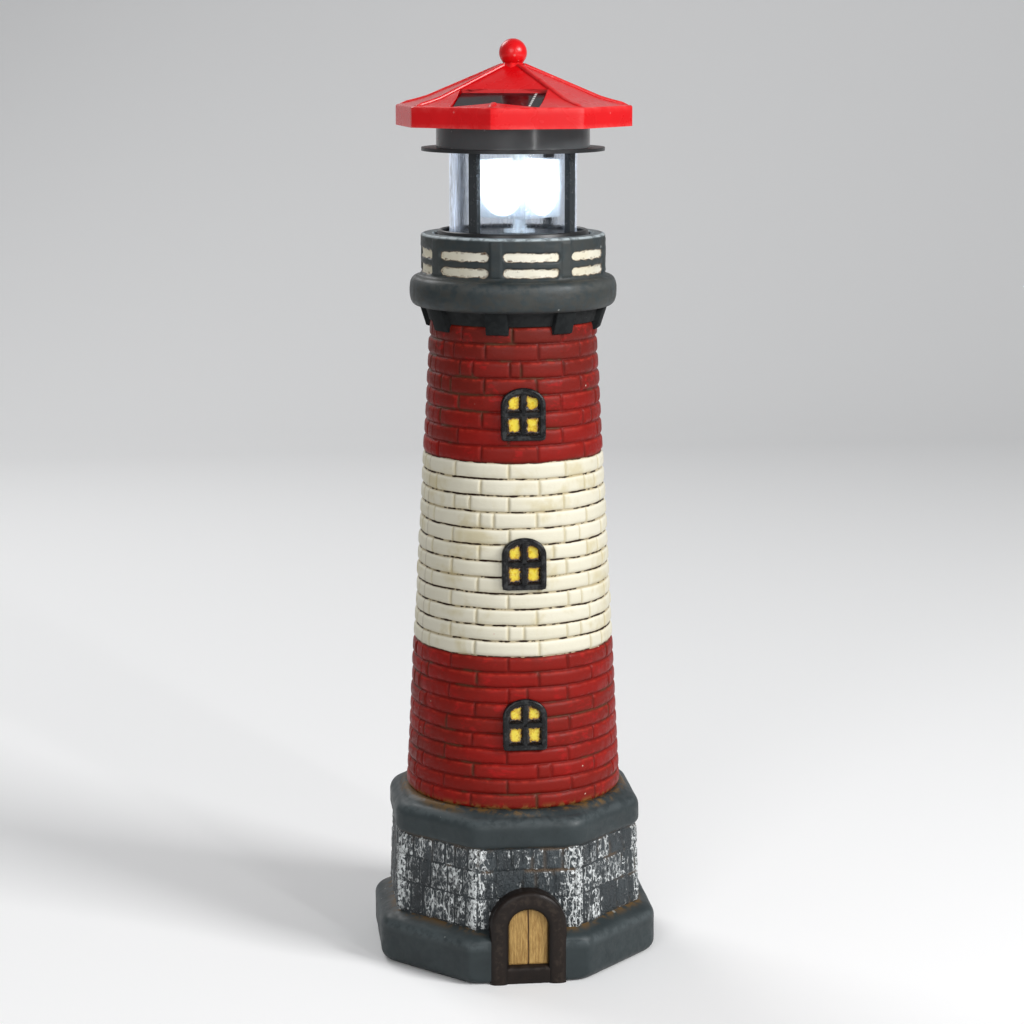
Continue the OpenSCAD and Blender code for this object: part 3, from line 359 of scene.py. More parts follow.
@dataclass(frozen=True)
class Value:
    """An output of a node, with the arithmetic that finishes are written in."""

    tree: Tree
    socket: bpy.types.NodeSocket

    def __getitem__(self, key: str | int) -> Value:
        """Another output of the same node."""
        return Value(self.tree, self.socket.node.outputs[key])

    def math(self, operation: str, other: Value | float = 0.0) -> Value:
        """Arithmetic with another number."""
        return self.tree.node("Math", self, other, operation=operation)

    def __mul__(self, other: Value | float) -> Value:
        """The product."""
        return self.math("MULTIPLY", other)

    def __add__(self, other: Value | float) -> Value:
        """The sum."""
        return self.math("ADD", other)

    def __sub__(self, other: Value | float) -> Value:
        """The difference."""
        return self.math("SUBTRACT", other)

    def __or__(self, other: Value) -> Value:
        """The larger one."""
        return self.math("MAXIMUM", other)

    def ramp(self, low: Value | float, high: Value | float, start: float = 0.0, stop: float = 1.0) -> Value:
        """A smooth climb from start at low to stop at high."""
        return self.tree.node("MapRange", self, low, high, start, stop, interpolation_type="SMOOTHSTEP")

    def sharpened(self, middle: Value | float, contrast: Value) -> Value:
        """A noise with more contrast round a middle, held between 0 and 1."""
        return self.tree.node("Clamp", (self - middle) * contrast + 0.5)

    def mix(self, a: Value | Colour, b: Value | Colour) -> Value:
        """Two colours mixed by this share.

        Args:
            a: The colour at 0.
            b: The colour at 1.

        Returns:
            The mixed colour.
        """
        mixed = self.tree.node("Mix", self, data_type="RGBA")[2]
        for key, colour in ((6, a), (7, b)):
            self.tree.put(mixed.socket.node, key, colour)
        return mixed


@dataclass(frozen=True)
class Tree:
    """A node tree, in which a finish reads as a list of steps."""

    tree: bpy.types.NodeTree

    def put(self, node: bpy.types.Node, key: str | int, value: object) -> None:
        """Sets an input of a node, or links an output to it.

        Args:
            node: The node.
            key: Name or number of the input.
            value: An output, a number or a colour.
        """
        socket = node.inputs[key]
        if isinstance(value, Value):
            self.tree.links.new(value.socket, socket)
        else:
            socket.default_value = (*value, 1.0) if socket.type == "RGBA" else value

    def node(self, kind: str, *first: object, **named: object) -> Value:
        """Adds a node.

        Args:
            kind: Its type, without the leading ShaderNode.
            *first: What its first inputs take, in their order.
            **named: Its properties by name, and more inputs by their capitalised names.

        Returns:
            Its first output.
        """
        node = self.tree.nodes.new("ShaderNode" + kind)
        inputs = dict(enumerate(first))
        for key, value in named.items():
            if key[0].isupper():
                inputs[key] = value
            else:
                setattr(node, key, value)
        for key, value in inputs.items():
            self.put(node, key, value)
        return Value(self, node.outputs[0])

    def place(self) -> Value:
        """Where a point lies in its piece."""
        return self.node("TexCoord")["Object"]

    def mark(self, name: str) -> Value:
        """The number that a mesh carries under a name, or 0."""
        return self.node("Attribute", attribute_name=name)["Fac"]

    def noise(self, size: Value, stretch: Colour | None = None, **shape: float) -> Value:
        """Noise with about size lumps in a metre, drawn out along the axes where stretch is small."""
        place = self.node("Mapping", self.place(), Scale=stretch) if stretch else self.place()
        return self.node("TexNoise", Vector=place, Scale=size, **shape)

    def effect(self, build: Callable[..., Value], *values: float) -> Value:
        """Places a shared effect, a node group that is built on first use.

        Args:
            build: Adds the group's nodes. The group, its output and its inputs take their names from it.
            *values: What this use of the group hands to its inputs.

        Returns:
            The group's output.
        """
        group = bpy.data.node_groups.get(build.__name__)
        if group is None:
            group = bpy.data.node_groups.new(build.__name__, "ShaderNodeTree")
            names = list(signature(build).parameters)[1:]
            for name in names:
                group.interface.new_socket(name, in_out="INPUT", socket_type="NodeSocketFloat")
            group.interface.new_socket(build.__name__, in_out="OUTPUT", socket_type="NodeSocketFloat")
            entry, leave = group.nodes.new("NodeGroupInput"), group.nodes.new("NodeGroupOutput")
            inner = Tree(group)
            inner.put(leave, 0, build(inner, *(Value(inner, entry.outputs[name]) for name in names)))
        return self.node("Group", *values, node_tree=group)

    def coat(
        self, colour: Value, roughness: Value | float, relief: Value | None = None, depth: float = 0.0, **more: object
    ) -> None:
        """Hands a finish to the shader.

        Args:
            colour: Base colour.
            roughness: Roughness.
            relief: Fine relief that tilts the surface.
            depth: Millimetres that one unit of the relief stands for.
            **more: What other inputs take, by name with spaces as underscores.
        """
        if relief is not None:
            more["Normal"] = self.node("Bump", Height=relief, Distance=depth * MM)
        for key, value in {"Base_Color": colour, "Roughness": roughness, **more}.items():
            self.put(self.tree.nodes["Principled BSDF"], key.replace("_", " "), value)


def mottled(tree: Tree, size: Value, contrast: Value) -> Value:
    """Soft blotches: size is about how many in a metre, contrast sharpens them."""
    return tree.noise(size, Detail=4.0, Roughness=0.6, Distortion=0.3).sharpened(0.5, contrast)


def grained(tree: Tree, size: Value) -> Value:
    """Fine unevenness of brushed paint or moulded plastic, as a height."""
    fine = tree.noise(size, Detail=3.0, Roughness=0.65)
    return tree.noise(size * 0.16, Detail=2.0) * 1.6 + fine


def brushed(tree: Tree, size: Value, middle: Value, contrast: Value) -> Value:
    """Lines drawn out along X, such as brush strokes and the marks of grinding."""
    return tree.noise(size, (0.12, 1.0, 1.0), Detail=5.0, Roughness=0.7).sharpened(middle, contrast)


def drawn(tree: Tree, size: Value, middle: Value, contrast: Value) -> Value:
    """Lines drawn out along Z, such as wood grain and the skin of a drawn tube."""
    return tree.noise(size, (1.0, 1.0, 0.12), Detail=5.0, Roughness=0.7).sharpened(middle, contrast)


def ridged(tree: Tree, size: Value, width: Value) -> Value:
    """Thin curling lines, such as the crests of rough cast stone."""
    away = tree.noise(size, (1.0, 1.0, 0.42), Detail=2.0, Roughness=0.6) - 0.5
    return away.math("ABSOLUTE").ramp(width * 0.3, width, 1.0, 0.0)


def specked(tree: Tree, size: Value, amount: Value) -> Value:
    """Scattered small specks, such as dust and chips.

    Args:
        tree: The group's nodes.
        size: About how many cells lie in a metre.
        amount: Share of the cells that have a speck.

    Returns:
        The specks' mask.
    """
    cell = tree.node("TexVoronoi", Vector=tree.place(), Scale=size)
    pick = tree.node("SeparateColor", cell["Color"])
    return pick.math("LESS_THAN", amount) * cell.math("LESS_THAN", pick[1] * 0.35)


def layered(body: Value | Colour, *coats: tuple[Value, Value | Colour]) -> Value:
    """Lays coats of colour over one another.

    Args:
        body: The lowest colour.
        *coats: The share and the colour of each coat.

    Returns:
        The colour that is seen.
    """
    for share, colour in coats:
        body = share.mix(body, colour)
    return body


# ------------------------------------------------------------------ finishes


@dataclass(frozen=True)
class Finish:
    """What every finish has: a name, and a material that is built once and then shared."""

    name: str

    def paint(self, tree: Tree) -> None:
        """Adds this finish's nodes."""
        raise NotImplementedError

    def put_on(self, obj: Object) -> None:
        """Gives an object this finish alone.

        Args:
            obj: The object.
        """
        material = bpy.data.materials.get(self.name)
        if not material:
            material = bpy.data.materials.new(self.name)
            material.use_nodes = True
            self.paint(Tree(material.node_tree))
        obj.data.materials.clear()
        obj.data.materials.append(material)


@dataclass(frozen=True)
class MouldedPlastic(Finish):
    """Injection-moulded plastic with faint flow marks, fine grain and a little dust."""

    colour: Colour
    roughness: float = 0.36
    dust: float = 0.02
    grain: float = 0.012

    def paint(self, tree: Tree) -> None:
        """Colour drifts a little, gloss a little more, and pale specks lie on top.

        Args:
            tree: The material's nodes.
        """
        pale = tuple(min(1.0, 0.25 + c) for c in self.colour)
        body = tree.effect(mottled, 90.0, 2.2).mix(dim(self.colour, 0.88), self.colour)
        body = (tree.effect(specked, 650.0, self.dust) * 0.5).mix(body, pale)
        cloud = tree.effect(mottled, 160.0, 1.6)
        gloss = cloud.ramp(0.1, 0.9, self.roughness * 0.82, self.roughness * 1.25)
        tree.coat(body, gloss, tree.effect(grained, 1500.0), self.grain)


@dataclass(frozen=True)
class RoofRed(Finish):
    """Glossy red plastic, paler and duller where it is rubbed at the edges."""

    colour: Colour = srgb(226, 8, 18)
    deep: Colour = srgb(208, 4, 12)

    def paint(self, tree: Tree) -> None:
        """Two reds in soft clouds, rubbed edges and a little dust.

        Args:
            tree: The material's nodes.
        """
        cloud = tree.effect(mottled, 30.0, 1.5)
        rubbed = tree.mark("edge") * tree.effect(mottled, 260.0, 2.0).ramp(0.2, 0.8, 0.2, 1.0)
        body = layered(
            self.deep,
            (cloud, self.colour),
            (rubbed * 0.4, srgb(244, 92, 90)),
            (tree.effect(specked, 560.0, 0.03) * 0.3, srgb(240, 170, 165)),
        )
        gloss = cloud.ramp(0.0, 1.0, 0.24, 0.32)
        tree.coat(body, gloss, tree.effect(grained, 260.0), 0.006, Specular_IOR_Level=0.4)


@dataclass(frozen=True)
class BrickPaint(Finish):
    """Red and cream brick paint: painted shade and dirt in joints, painted highlights on upper edges, bare dark
    lines.
    """

    red: Colour = srgb(138, 19, 12)
    dull_red: Colour = srgb(112, 24, 14)
    bright_red: Colour = srgb(178, 24, 26)
    cream: Colour = srgb(222, 217, 198)
    stain: Colour = srgb(198, 184, 138)
    wash: Colour = srgb(140, 100, 52)

    def paint(self, tree: Tree) -> None:
        """Red and cream coats chosen by band, then seam, wash at the foot and chips.

        Args:
            tree: The material's nodes.
        """
        bed, head, tint, crest = (tree.mark(name) for name in ("bed", "head", "tint", "crest"))
        cloud, fine = tree.effect(mottled, 55.0, 2.4), tree.effect(mottled, 330.0, 2.6)
        brush = tree.effect(brushed, 520.0, 0.52, 5.0)
        scuff = tree.effect(mottled, 95.0, 3.6).ramp(0.62, 0.95) * brush.ramp(0.2, 0.9)
        groove = bed | head * 0.85
        red = layered(
            self.red,
            (tint * 0.75, self.dull_red),
            (cloud.ramp(0.35, 0.85, 0.0, 0.45), self.dull_red),
            # painted shade: darker brown red towards the head of the shaft, under the gallery
            (tree.mark("top") * 0.6, srgb(88, 28, 20)),
            (scuff * 0.45, self.bright_red),
            # painted highlight: brighter red along each brick's upper edge
            (crest * fine.ramp(0.3, 0.8, 0.1, 0.6), srgb(182, 52, 38)),
            # painted shade: dark red deep in the joints; the brown coat on the next line is dirt in the joints
            (groove * cloud.ramp(0.1, 0.9, 0.25, 0.8), srgb(58, 16, 10)),
            (groove * cloud.ramp(0.55, 0.8, 0.0, 0.6), srgb(92, 66, 44)),
        )
        ragged = tree.effect(mottled, 105.0, 6.5) * 0.45 + fine * 0.7
        cream = layered(
            self.cream,
            (tint * 0.35, srgb(212, 206, 182)),
            (cloud.ramp(0.5, 0.95, 0.0, 0.55), self.stain),
            (head * 0.5, srgb(176, 160, 112)),
            # painted highlight: paler cream along each brick's upper edge
            (crest * 0.5, srgb(240, 236, 220)),
            (bed.ramp(0.1, 0.7) * 0.6, srgb(166, 146, 102)),
            ((bed * ragged).ramp(0.37, 0.5), srgb(44, 27, 18)),
        )
        body = layered(
            red,
            (tree.mark("band"), cream),
            (tree.mark("seam") * 0.5, srgb(90, 40, 32)),
            (tree.mark("foot") * fine.ramp(0.3, 0.7, 0.0, 0.9), self.wash),
            (tree.effect(specked, 700.0, 0.003) * 0.75, srgb(214, 196, 178)),
        )
        height = tree.effect(grained, 850.0) + brush * 0.5
        tree.coat(body, fine.ramp(0.0, 1.0, 0.36, 0.6), height, 0.06, Specular_IOR_Level=0.16)


@dataclass(frozen=True)
class SlatePaint(Finish):
    """Smooth slate-grey paint, paler where it is handled and brown where dirt has settled."""

    colour: Colour = srgb(52, 61, 63)
    dark: Colour = srgb(34, 41, 43)
    gloss: float = 0.34

    def paint(self, tree: Tree) -> None:
        """Two greys, worn edges, stains and painted shade, then the ragged cream of the slots.

        Args:
            tree: The material's nodes.
        """
        cloud, fine = tree.effect(mottled, 38.0, 2.0), tree.effect(mottled, 280.0, 2.6)
        shade = tree.mark("shade")
        line = tree.mark("cream") + (fine - 0.5) * 0.5
        rim = line.ramp(0.3, 0.5) - line.ramp(0.6, 0.82)
        rust = tree.mark("rust") * fine.ramp(0.4, 0.56)
        coat = layered(
            srgb(226, 222, 206),
            (cloud.ramp(0.3, 0.9, 0.0, 0.5), srgb(206, 194, 160)),
            (rim * 0.85 | rust, srgb(82, 54, 27)),
        )
        body = layered(
            self.dark,
            (cloud, self.colour),
            (tree.mark("edge") * fine.ramp(0.2, 0.7, 0.3, 1.0) * 0.8, srgb(184, 196, 200)),
            (tree.mark("dirt") * (fine + cloud).ramp(0.7, 1.3), srgb(98, 74, 40)),
            # painted shade: near-black on the collar, the belt's lower edge and the brackets, under the belt
            (shade, srgb(18, 20, 21)),
            (tree.effect(specked, 420.0, 0.012) * 0.5, srgb(168, 172, 168)),
            (line.ramp(0.42, 0.56), coat),
        )
        gloss = fine.ramp(0.0, 1.0, 0.42, 0.6) + shade * 0.35
        tree.coat(body, gloss, tree.effect(grained, 420.0), 0.09, Specular_IOR_Level=self.gloss)


@dataclass(frozen=True)
class DryBrushedStone(Finish):
    """Rough dark stone, dry-brushed with white upright strokes and brown in the joints."""

    dark: Colour = srgb(30, 35, 38)
    grey: Colour = srgb(60, 68, 72)
    white: Colour = srgb(226, 230, 230)
    brown: Colour = srgb(94, 70, 42)

    def paint(self, tree: Tree) -> None:
        """White catches on fine curling ridges, and covers whole stones at the corners.

        Args:
            tree: The material's nodes.
        """
        brush = tree.mark("brush")
        cloud, fine = tree.effect(mottled, 60.0, 2.4), tree.effect(mottled, 620.0, 3.4)
        ridge, small = tree.effect(ridged, 300.0, 0.045), tree.effect(ridged, 560.0, 0.04)
        thin = (ridge | small * 0.55) * (brush + fine * 0.25).ramp(0.4, 0.7)
        share = thin | (brush + (fine - 0.5) * 0.7).ramp(0.88, 0.98)
        stain = tree.mark("joint") * cloud.ramp(0.5, 0.78) * 0.75
        body = layered(self.dark, (cloud, self.grey), (stain, self.brown), (share, self.white))
        tree.coat(body, share.ramp(0.0, 1.0, 0.5, 0.8), ridge * 1.2 + (small + fine), 0.22)


@dataclass(frozen=True)
class WindowBlack(Finish):
    """Thick glossy black paint with brush marks and small grey scuffs."""

    def paint(self, tree: Tree) -> None:
        """Near-black with grey where the raised edges have been rubbed.

        Args:
            tree: The material's nodes.
        """
        fine = tree.effect(mottled, 420.0, 3.0)
        rubbed = tree.mark("edge") * fine.ramp(0.55, 0.8) * 0.2
        body = layered(srgb(13, 13, 15), (fine, srgb(20, 20, 22)), (rubbed, srgb(96, 98, 98)))
        gloss = fine.ramp(0.0, 1.0, 0.26, 0.34)
        tree.coat(body, gloss, tree.effect(grained, 400.0), 0.02, Specular_IOR_Level=0.26)


@dataclass(frozen=True)
class PaneYellow(Finish):
    """Wet-looking yellow dabs in the window panes, brown and bare towards their edges."""

    def paint(self, tree: Tree) -> None:
        """Yellow in the middle of each pane, through amber to dark brown.

        Args:
            tree: The material's nodes.
        """
        fine = tree.effect(mottled, 620.0, 2.6)
        line = tree.mark("dab") + (fine - 0.5) * 0.7
        body = layered(
            srgb(30, 17, 10),
            (line.ramp(0.22, 0.4), srgb(128, 78, 12)),
            (line.ramp(0.4, 0.62), srgb(206, 168, 18)),
            (line.ramp(0.75, 1.05, 0.0, 0.8), srgb(232, 212, 58)),
        )
        gloss = fine.ramp(0.0, 1.0, 0.2, 0.4)
        tree.coat(body, gloss, tree.effect(grained, 600.0), 0.2, Coat_Weight=0.7, Coat_Roughness=0.08)


@dataclass(frozen=True)
class DoorStone(Finish):
    """Brown-grey paint on the door's surround, rubbed paler over the crown of the moulding."""

    def paint(self, tree: Tree) -> None:
        """Painted shade on the band's inner side, brown-grey band and a rubbed crown.

        Args:
            tree: The material's nodes.
        """
        cloud, fine = tree.effect(mottled, 90.0, 2.2), tree.effect(mottled, 360.0, 2.8)
        body = layered(
            srgb(24, 18, 15),
            (cloud, srgb(34, 26, 22)),
            (tree.mark("edge") * fine.ramp(0.35, 0.85, 0.1, 1.0) * 0.22, srgb(88, 76, 66)),
            # painted shade: near-black on the band's inner side, beside the leaf
            (tree.mark("reveal"), srgb(15, 9, 7)),
        )
        gloss = fine.ramp(0.0, 1.0, 0.3, 0.46)
        tree.coat(body, gloss, tree.effect(grained, 480.0), 0.1, Specular_IOR_Level=0.22)


@dataclass(frozen=True)
class PlankPaint(Finish):
    """Tan door planks with brushed grain and dark in the joint."""

    def paint(self, tree: Tree) -> None:
        """Tan with upright darker grain lines, and a worn dark outline.

        Args:
            tree: The material's nodes.
        """
        grain = tree.effect(drawn, 1500.0, 0.5, 4.5)
        line = tree.mark("joint") + (grain - 0.5) * 0.3
        body = layered(
            srgb(148, 112, 56),
            (grain, srgb(190, 154, 92)),
            (tree.effect(mottled, 150.0, 2.2).ramp(0.4, 0.9, 0.0, 0.4), srgb(160, 126, 70)),
            (line.ramp(0.45, 0.75), srgb(74, 48, 22)),
        )
        tree.coat(body, grain.ramp(0.0, 1.0, 0.5, 0.7), grain, 0.12)


@dataclass(frozen=True)
class BareCasting(Finish):
    """Unpainted inside of the casting: chalky, with soft brown stains."""

    def paint(self, tree: Tree) -> None:
        """Chalk grey with soft stains and a lumpy poured skin.

        Args:
            tree: The material's nodes.
        """
        cloud, fine = tree.effect(mottled, 30.0, 2.4), tree.effect(mottled, 300.0, 2.4)
        stain = fine.ramp(0.6, 0.9, 0.0, 0.5)
        body = layered(srgb(150, 144, 132), (cloud, srgb(188, 182, 170)), (stain, srgb(120, 104, 82)))
        tree.coat(body, 0.85, tree.effect(grained, 260.0), 0.3)


@dataclass(frozen=True)
class ClearPlastic(Finish):
    """Clear plastic with drawn streaks, and painted glints that glow towards its outline."""

    tint: Colour = (0.93, 0.96, 1.0)

    def paint(self, tree: Tree) -> None:
        """Mostly clear, duller along fine upright streaks, with painted glints (emission) towards its outline.

        Args:
            tree: The material's nodes.
        """
        streak = tree.effect(drawn, 900.0, 0.53, 9.0)
        facing = tree.node("LayerWeight", Blend=0.5)["Facing"]
        # painted glint: emission along the streaks towards the outline, and a bright line at the outline itself
        shine = streak.ramp(0.25, 1.0, 0.18, 1.3) * facing.ramp(0.35, 0.8) | facing.ramp(0.9, 0.98)
        tree.coat(
            (streak * 0.35).mix(self.tint, srgb(188, 204, 230)),
            streak.ramp(0.2, 1.0, 0.02, 0.12),
            streak,
            0.006,
            IOR=1.49,
            Transmission_Weight=1.0,
            Emission_Color=shine.mix((0.0, 0.0, 0.0), srgb(214, 228, 250)),
            Emission_Strength=0.72,
        )


@dataclass(frozen=True)
class LitPlastic(Finish):
    """Clear plastic filled with the lamp's white light, which fades in between two heights."""

    glow: float
    tint: Colour = (0.9, 0.96, 1.0)
    fade_from: float = 0.0
    fade_to: float = 1.0
    bands: float = 0.12
    contrast: float = 3.0

    def paint(self, tree: Tree) -> None:
        """White light with faint bluish rings and streaks.

        Args:
            tree: The material's nodes.
        """
        cloud, streak = tree.effect(mottled, 150.0, 1.6), tree.effect(drawn, 600.0, 0.5, self.contrast)
        light = layered(dim(self.tint, 0.86), (cloud, self.tint), (streak * self.bands, srgb(70, 84, 92)))
        height = tree.node("SeparateXYZ", tree.place())["Z"]
        tree.coat(
            streak.mix(srgb(214, 226, 236), srgb(244, 248, 252)),
            cloud.ramp(0.0, 1.0, 0.12, 0.3),
            streak,
            0.05,
            IOR=1.49,
            Transmission_Weight=0.35,
            Emission_Color=height.ramp(self.fade_from * MM, self.fade_to * MM).mix(dim(self.tint, 0.12), light),
            Emission_Strength=self.glow,
        )


@dataclass(frozen=True)
class SolarCells(Finish):
    """Black cells under clear resin, with thin silver fingers and a dashed bus line."""

    bus: float = 13.8

    def paint(self, tree: Tree) -> None:
        """Deep blue-black with fingers across and one dashed line near the right side.

        Args:
            tree: The material's nodes.
        """
        along, out = tree.mark("cell_v"), tree.mark("cell_u")
        cloud = tree.effect(mottled, 110.0, 2.0)
        finger = ((out * 0.55).math("FRACT") - 0.5).math("ABSOLUTE")
        dash = (out * 0.42).math("FRACT").math("GREATER_THAN", 0.42)
        line = (along - self.bus).math("ABSOLUTE").ramp(0.36, 0.6, 1.0, 0.0) * dash
        body = layered(
            srgb(4, 4, 7),
            (cloud, srgb(10, 10, 15)),
            (finger.ramp(0.47, 0.495, 0.0, 0.16), srgb(120, 124, 134)),
            (line, srgb(226, 226, 222)),
        )
        gloss = cloud.ramp(0.0, 1.0, 0.1, 0.22)
        tree.coat(body, gloss, tree.effect(grained, 300.0), 0.03, Specular_IOR_Level=0.16)


@dataclass(frozen=True)
class PlatedMetal(Finish):
    """Plated or turned metal with fine brushing and dull spots."""

    colour: Colour = (0.62, 0.62, 0.63)
    roughness: float = 0.28

    def paint(self, tree: Tree) -> None:
        """Metal whose gloss changes along brush lines.

        Args:
            tree: The material's nodes.
        """
        streak = tree.effect(brushed, 1800.0, 0.5, 3.0)
        dull = tree.effect(mottled, 240.0, 2.4).ramp(0.5, 0.9)
        gloss = streak.ramp(0.0, 1.0, self.roughness * 0.7, self.roughness * 1.5)
        tree.coat(dull.mix(self.colour, dim(self.colour, 0.7)), gloss, streak, 0.01, Metallic=1.0)


@dataclass(frozen=True)
class BoardGreen(Finish):
    """Solder mask with faint tracks."""

    def paint(self, tree: Tree) -> None:
        """Green with paler tracks from a cell pattern.

        Args:
            tree: The material's nodes.
        """
        cells = tree.node("TexVoronoi", feature="DISTANCE_TO_EDGE", Vector=tree.place(), Scale=260.0)
        track = cells.ramp(0.02, 0.06, 1.0, 0.0)
        cloud = tree.effect(mottled, 120.0, 2.0)
        body = layered(srgb(14, 70, 38), (cloud, srgb(24, 96, 52)), (track, srgb(74, 140, 86)))
        tree.coat(body, 0.35, track, 0.03)


@dataclass(frozen=True)
class Sleeve(Finish):
    """Shrink sleeve or wire insulation, with a second colour past a place along X."""

    colour: Colour = srgb(150, 20, 18)
    band: Colour | None = None
    band_from: float = 9.0

    def paint(self, tree: Tree) -> None:
        """One colour, and past a place along X the second one.

        Args:
            tree: The material's nodes.
        """
        past = tree.node("SeparateXYZ", tree.place()).math("GREATER_THAN", self.band_from * MM)
        cloud = tree.effect(mottled, 200.0, 2.0)
        body = layered(self.colour, (past, self.band or self.colour), (cloud * 0.25, srgb(30, 30, 30)))
        tree.coat(body, cloud.ramp(0.0, 1.0, 0.28, 0.45), tree.effect(grained, 1200.0), 0.02)


@dataclass(frozen=True)
class Finishes:
    """Every finish on the ornament."""

    roof: Finish = RoofRed("roof_red")
    brick: Finish = BrickPaint("brick_paint")
    slate: Finish = SlatePaint("slate_paint")
    # darker copy of the slate paint for the brackets: painted shade under the belt
    dark_slate: Finish = SlatePaint("bracket_slate", srgb(24, 27, 29), srgb(15, 17, 18), 0.12)
    stone: Finish = DryBrushedStone("dry_brushed_stone")
    frame: Finish = WindowBlack("window_black")
    pane: Finish = PaneYellow("pane_yellow")
    surround: Finish = DoorStone("door_stone")
    plank: Finish = PlankPaint("plank_paint")
    casting: Finish = BareCasting("bare_casting")
    black: Finish = MouldedPlastic("lamp_black", srgb(26, 27, 29), dust=0.015)
    grey: Finish = MouldedPlastic("housing_grey", srgb(94, 98, 100), roughness=0.2, grain=0.004)
    post: Finish = MouldedPlastic("post_grey", srgb(48, 52, 55), roughness=0.24, grain=0.004)
    white: Finish = MouldedPlastic("natural_white", srgb(226, 224, 214), roughness=0.42)
    clear: Finish = ClearPlastic("clear_tube")
    hub: Finish = LitPlastic("lit_hub", 0.4, fade_from=300.0, fade_to=319.0, bands=1.0, contrast=9.0)
    lens: Finish = LitPlastic("lit_lens", 1.15)
    frame_glow: Finish = LitPlastic("lit_frame", 0.9, fade_from=323.0, fade_to=341.0)
    lamp: Finish = LitPlastic("lit_lamp", 30.0, tint=(1.0, 1.0, 1.0))
    cells: Finish = SolarCells("solar_cells")
    steel: Finish = PlatedMetal("plated_steel")
    brass: Finish = PlatedMetal("turned_brass", (0.72, 0.5, 0.22), 0.3)
    board: Finish = BoardGreen("board_green")
    battery: Finish = Sleeve("battery_sleeve", srgb(26, 112, 70), srgb(206, 200, 186), 14.0)
    red_wire: Finish = Sleeve("red_wire")
    black_wire: Finish = Sleeve("black_wire", srgb(22, 22, 24))


FINISH = Finishes()


def dress(
    obj: Object, finish: Finish, body: Body = Body.TOWER, slot: str = "cast_resin", replaces: str = "tower"
) -> None:
    """Finishes a new piece and hands it to its body.

    Args:
        obj: The piece.
        finish: What it is painted or moulded in.
        body: The body it moves with.
        slot: The record's material slot; not used.
        replaces: The CAD node that it stands for, or nothing.
    """
    finish.put_on(obj)
    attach(obj, body.value)
    if replaces:
        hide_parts(replaces)
    LOG.info("%s: %d faces on %s", obj.name, len(obj.data.polygons), body.value)


# ------------------------------------------------------------------ the casting's foot


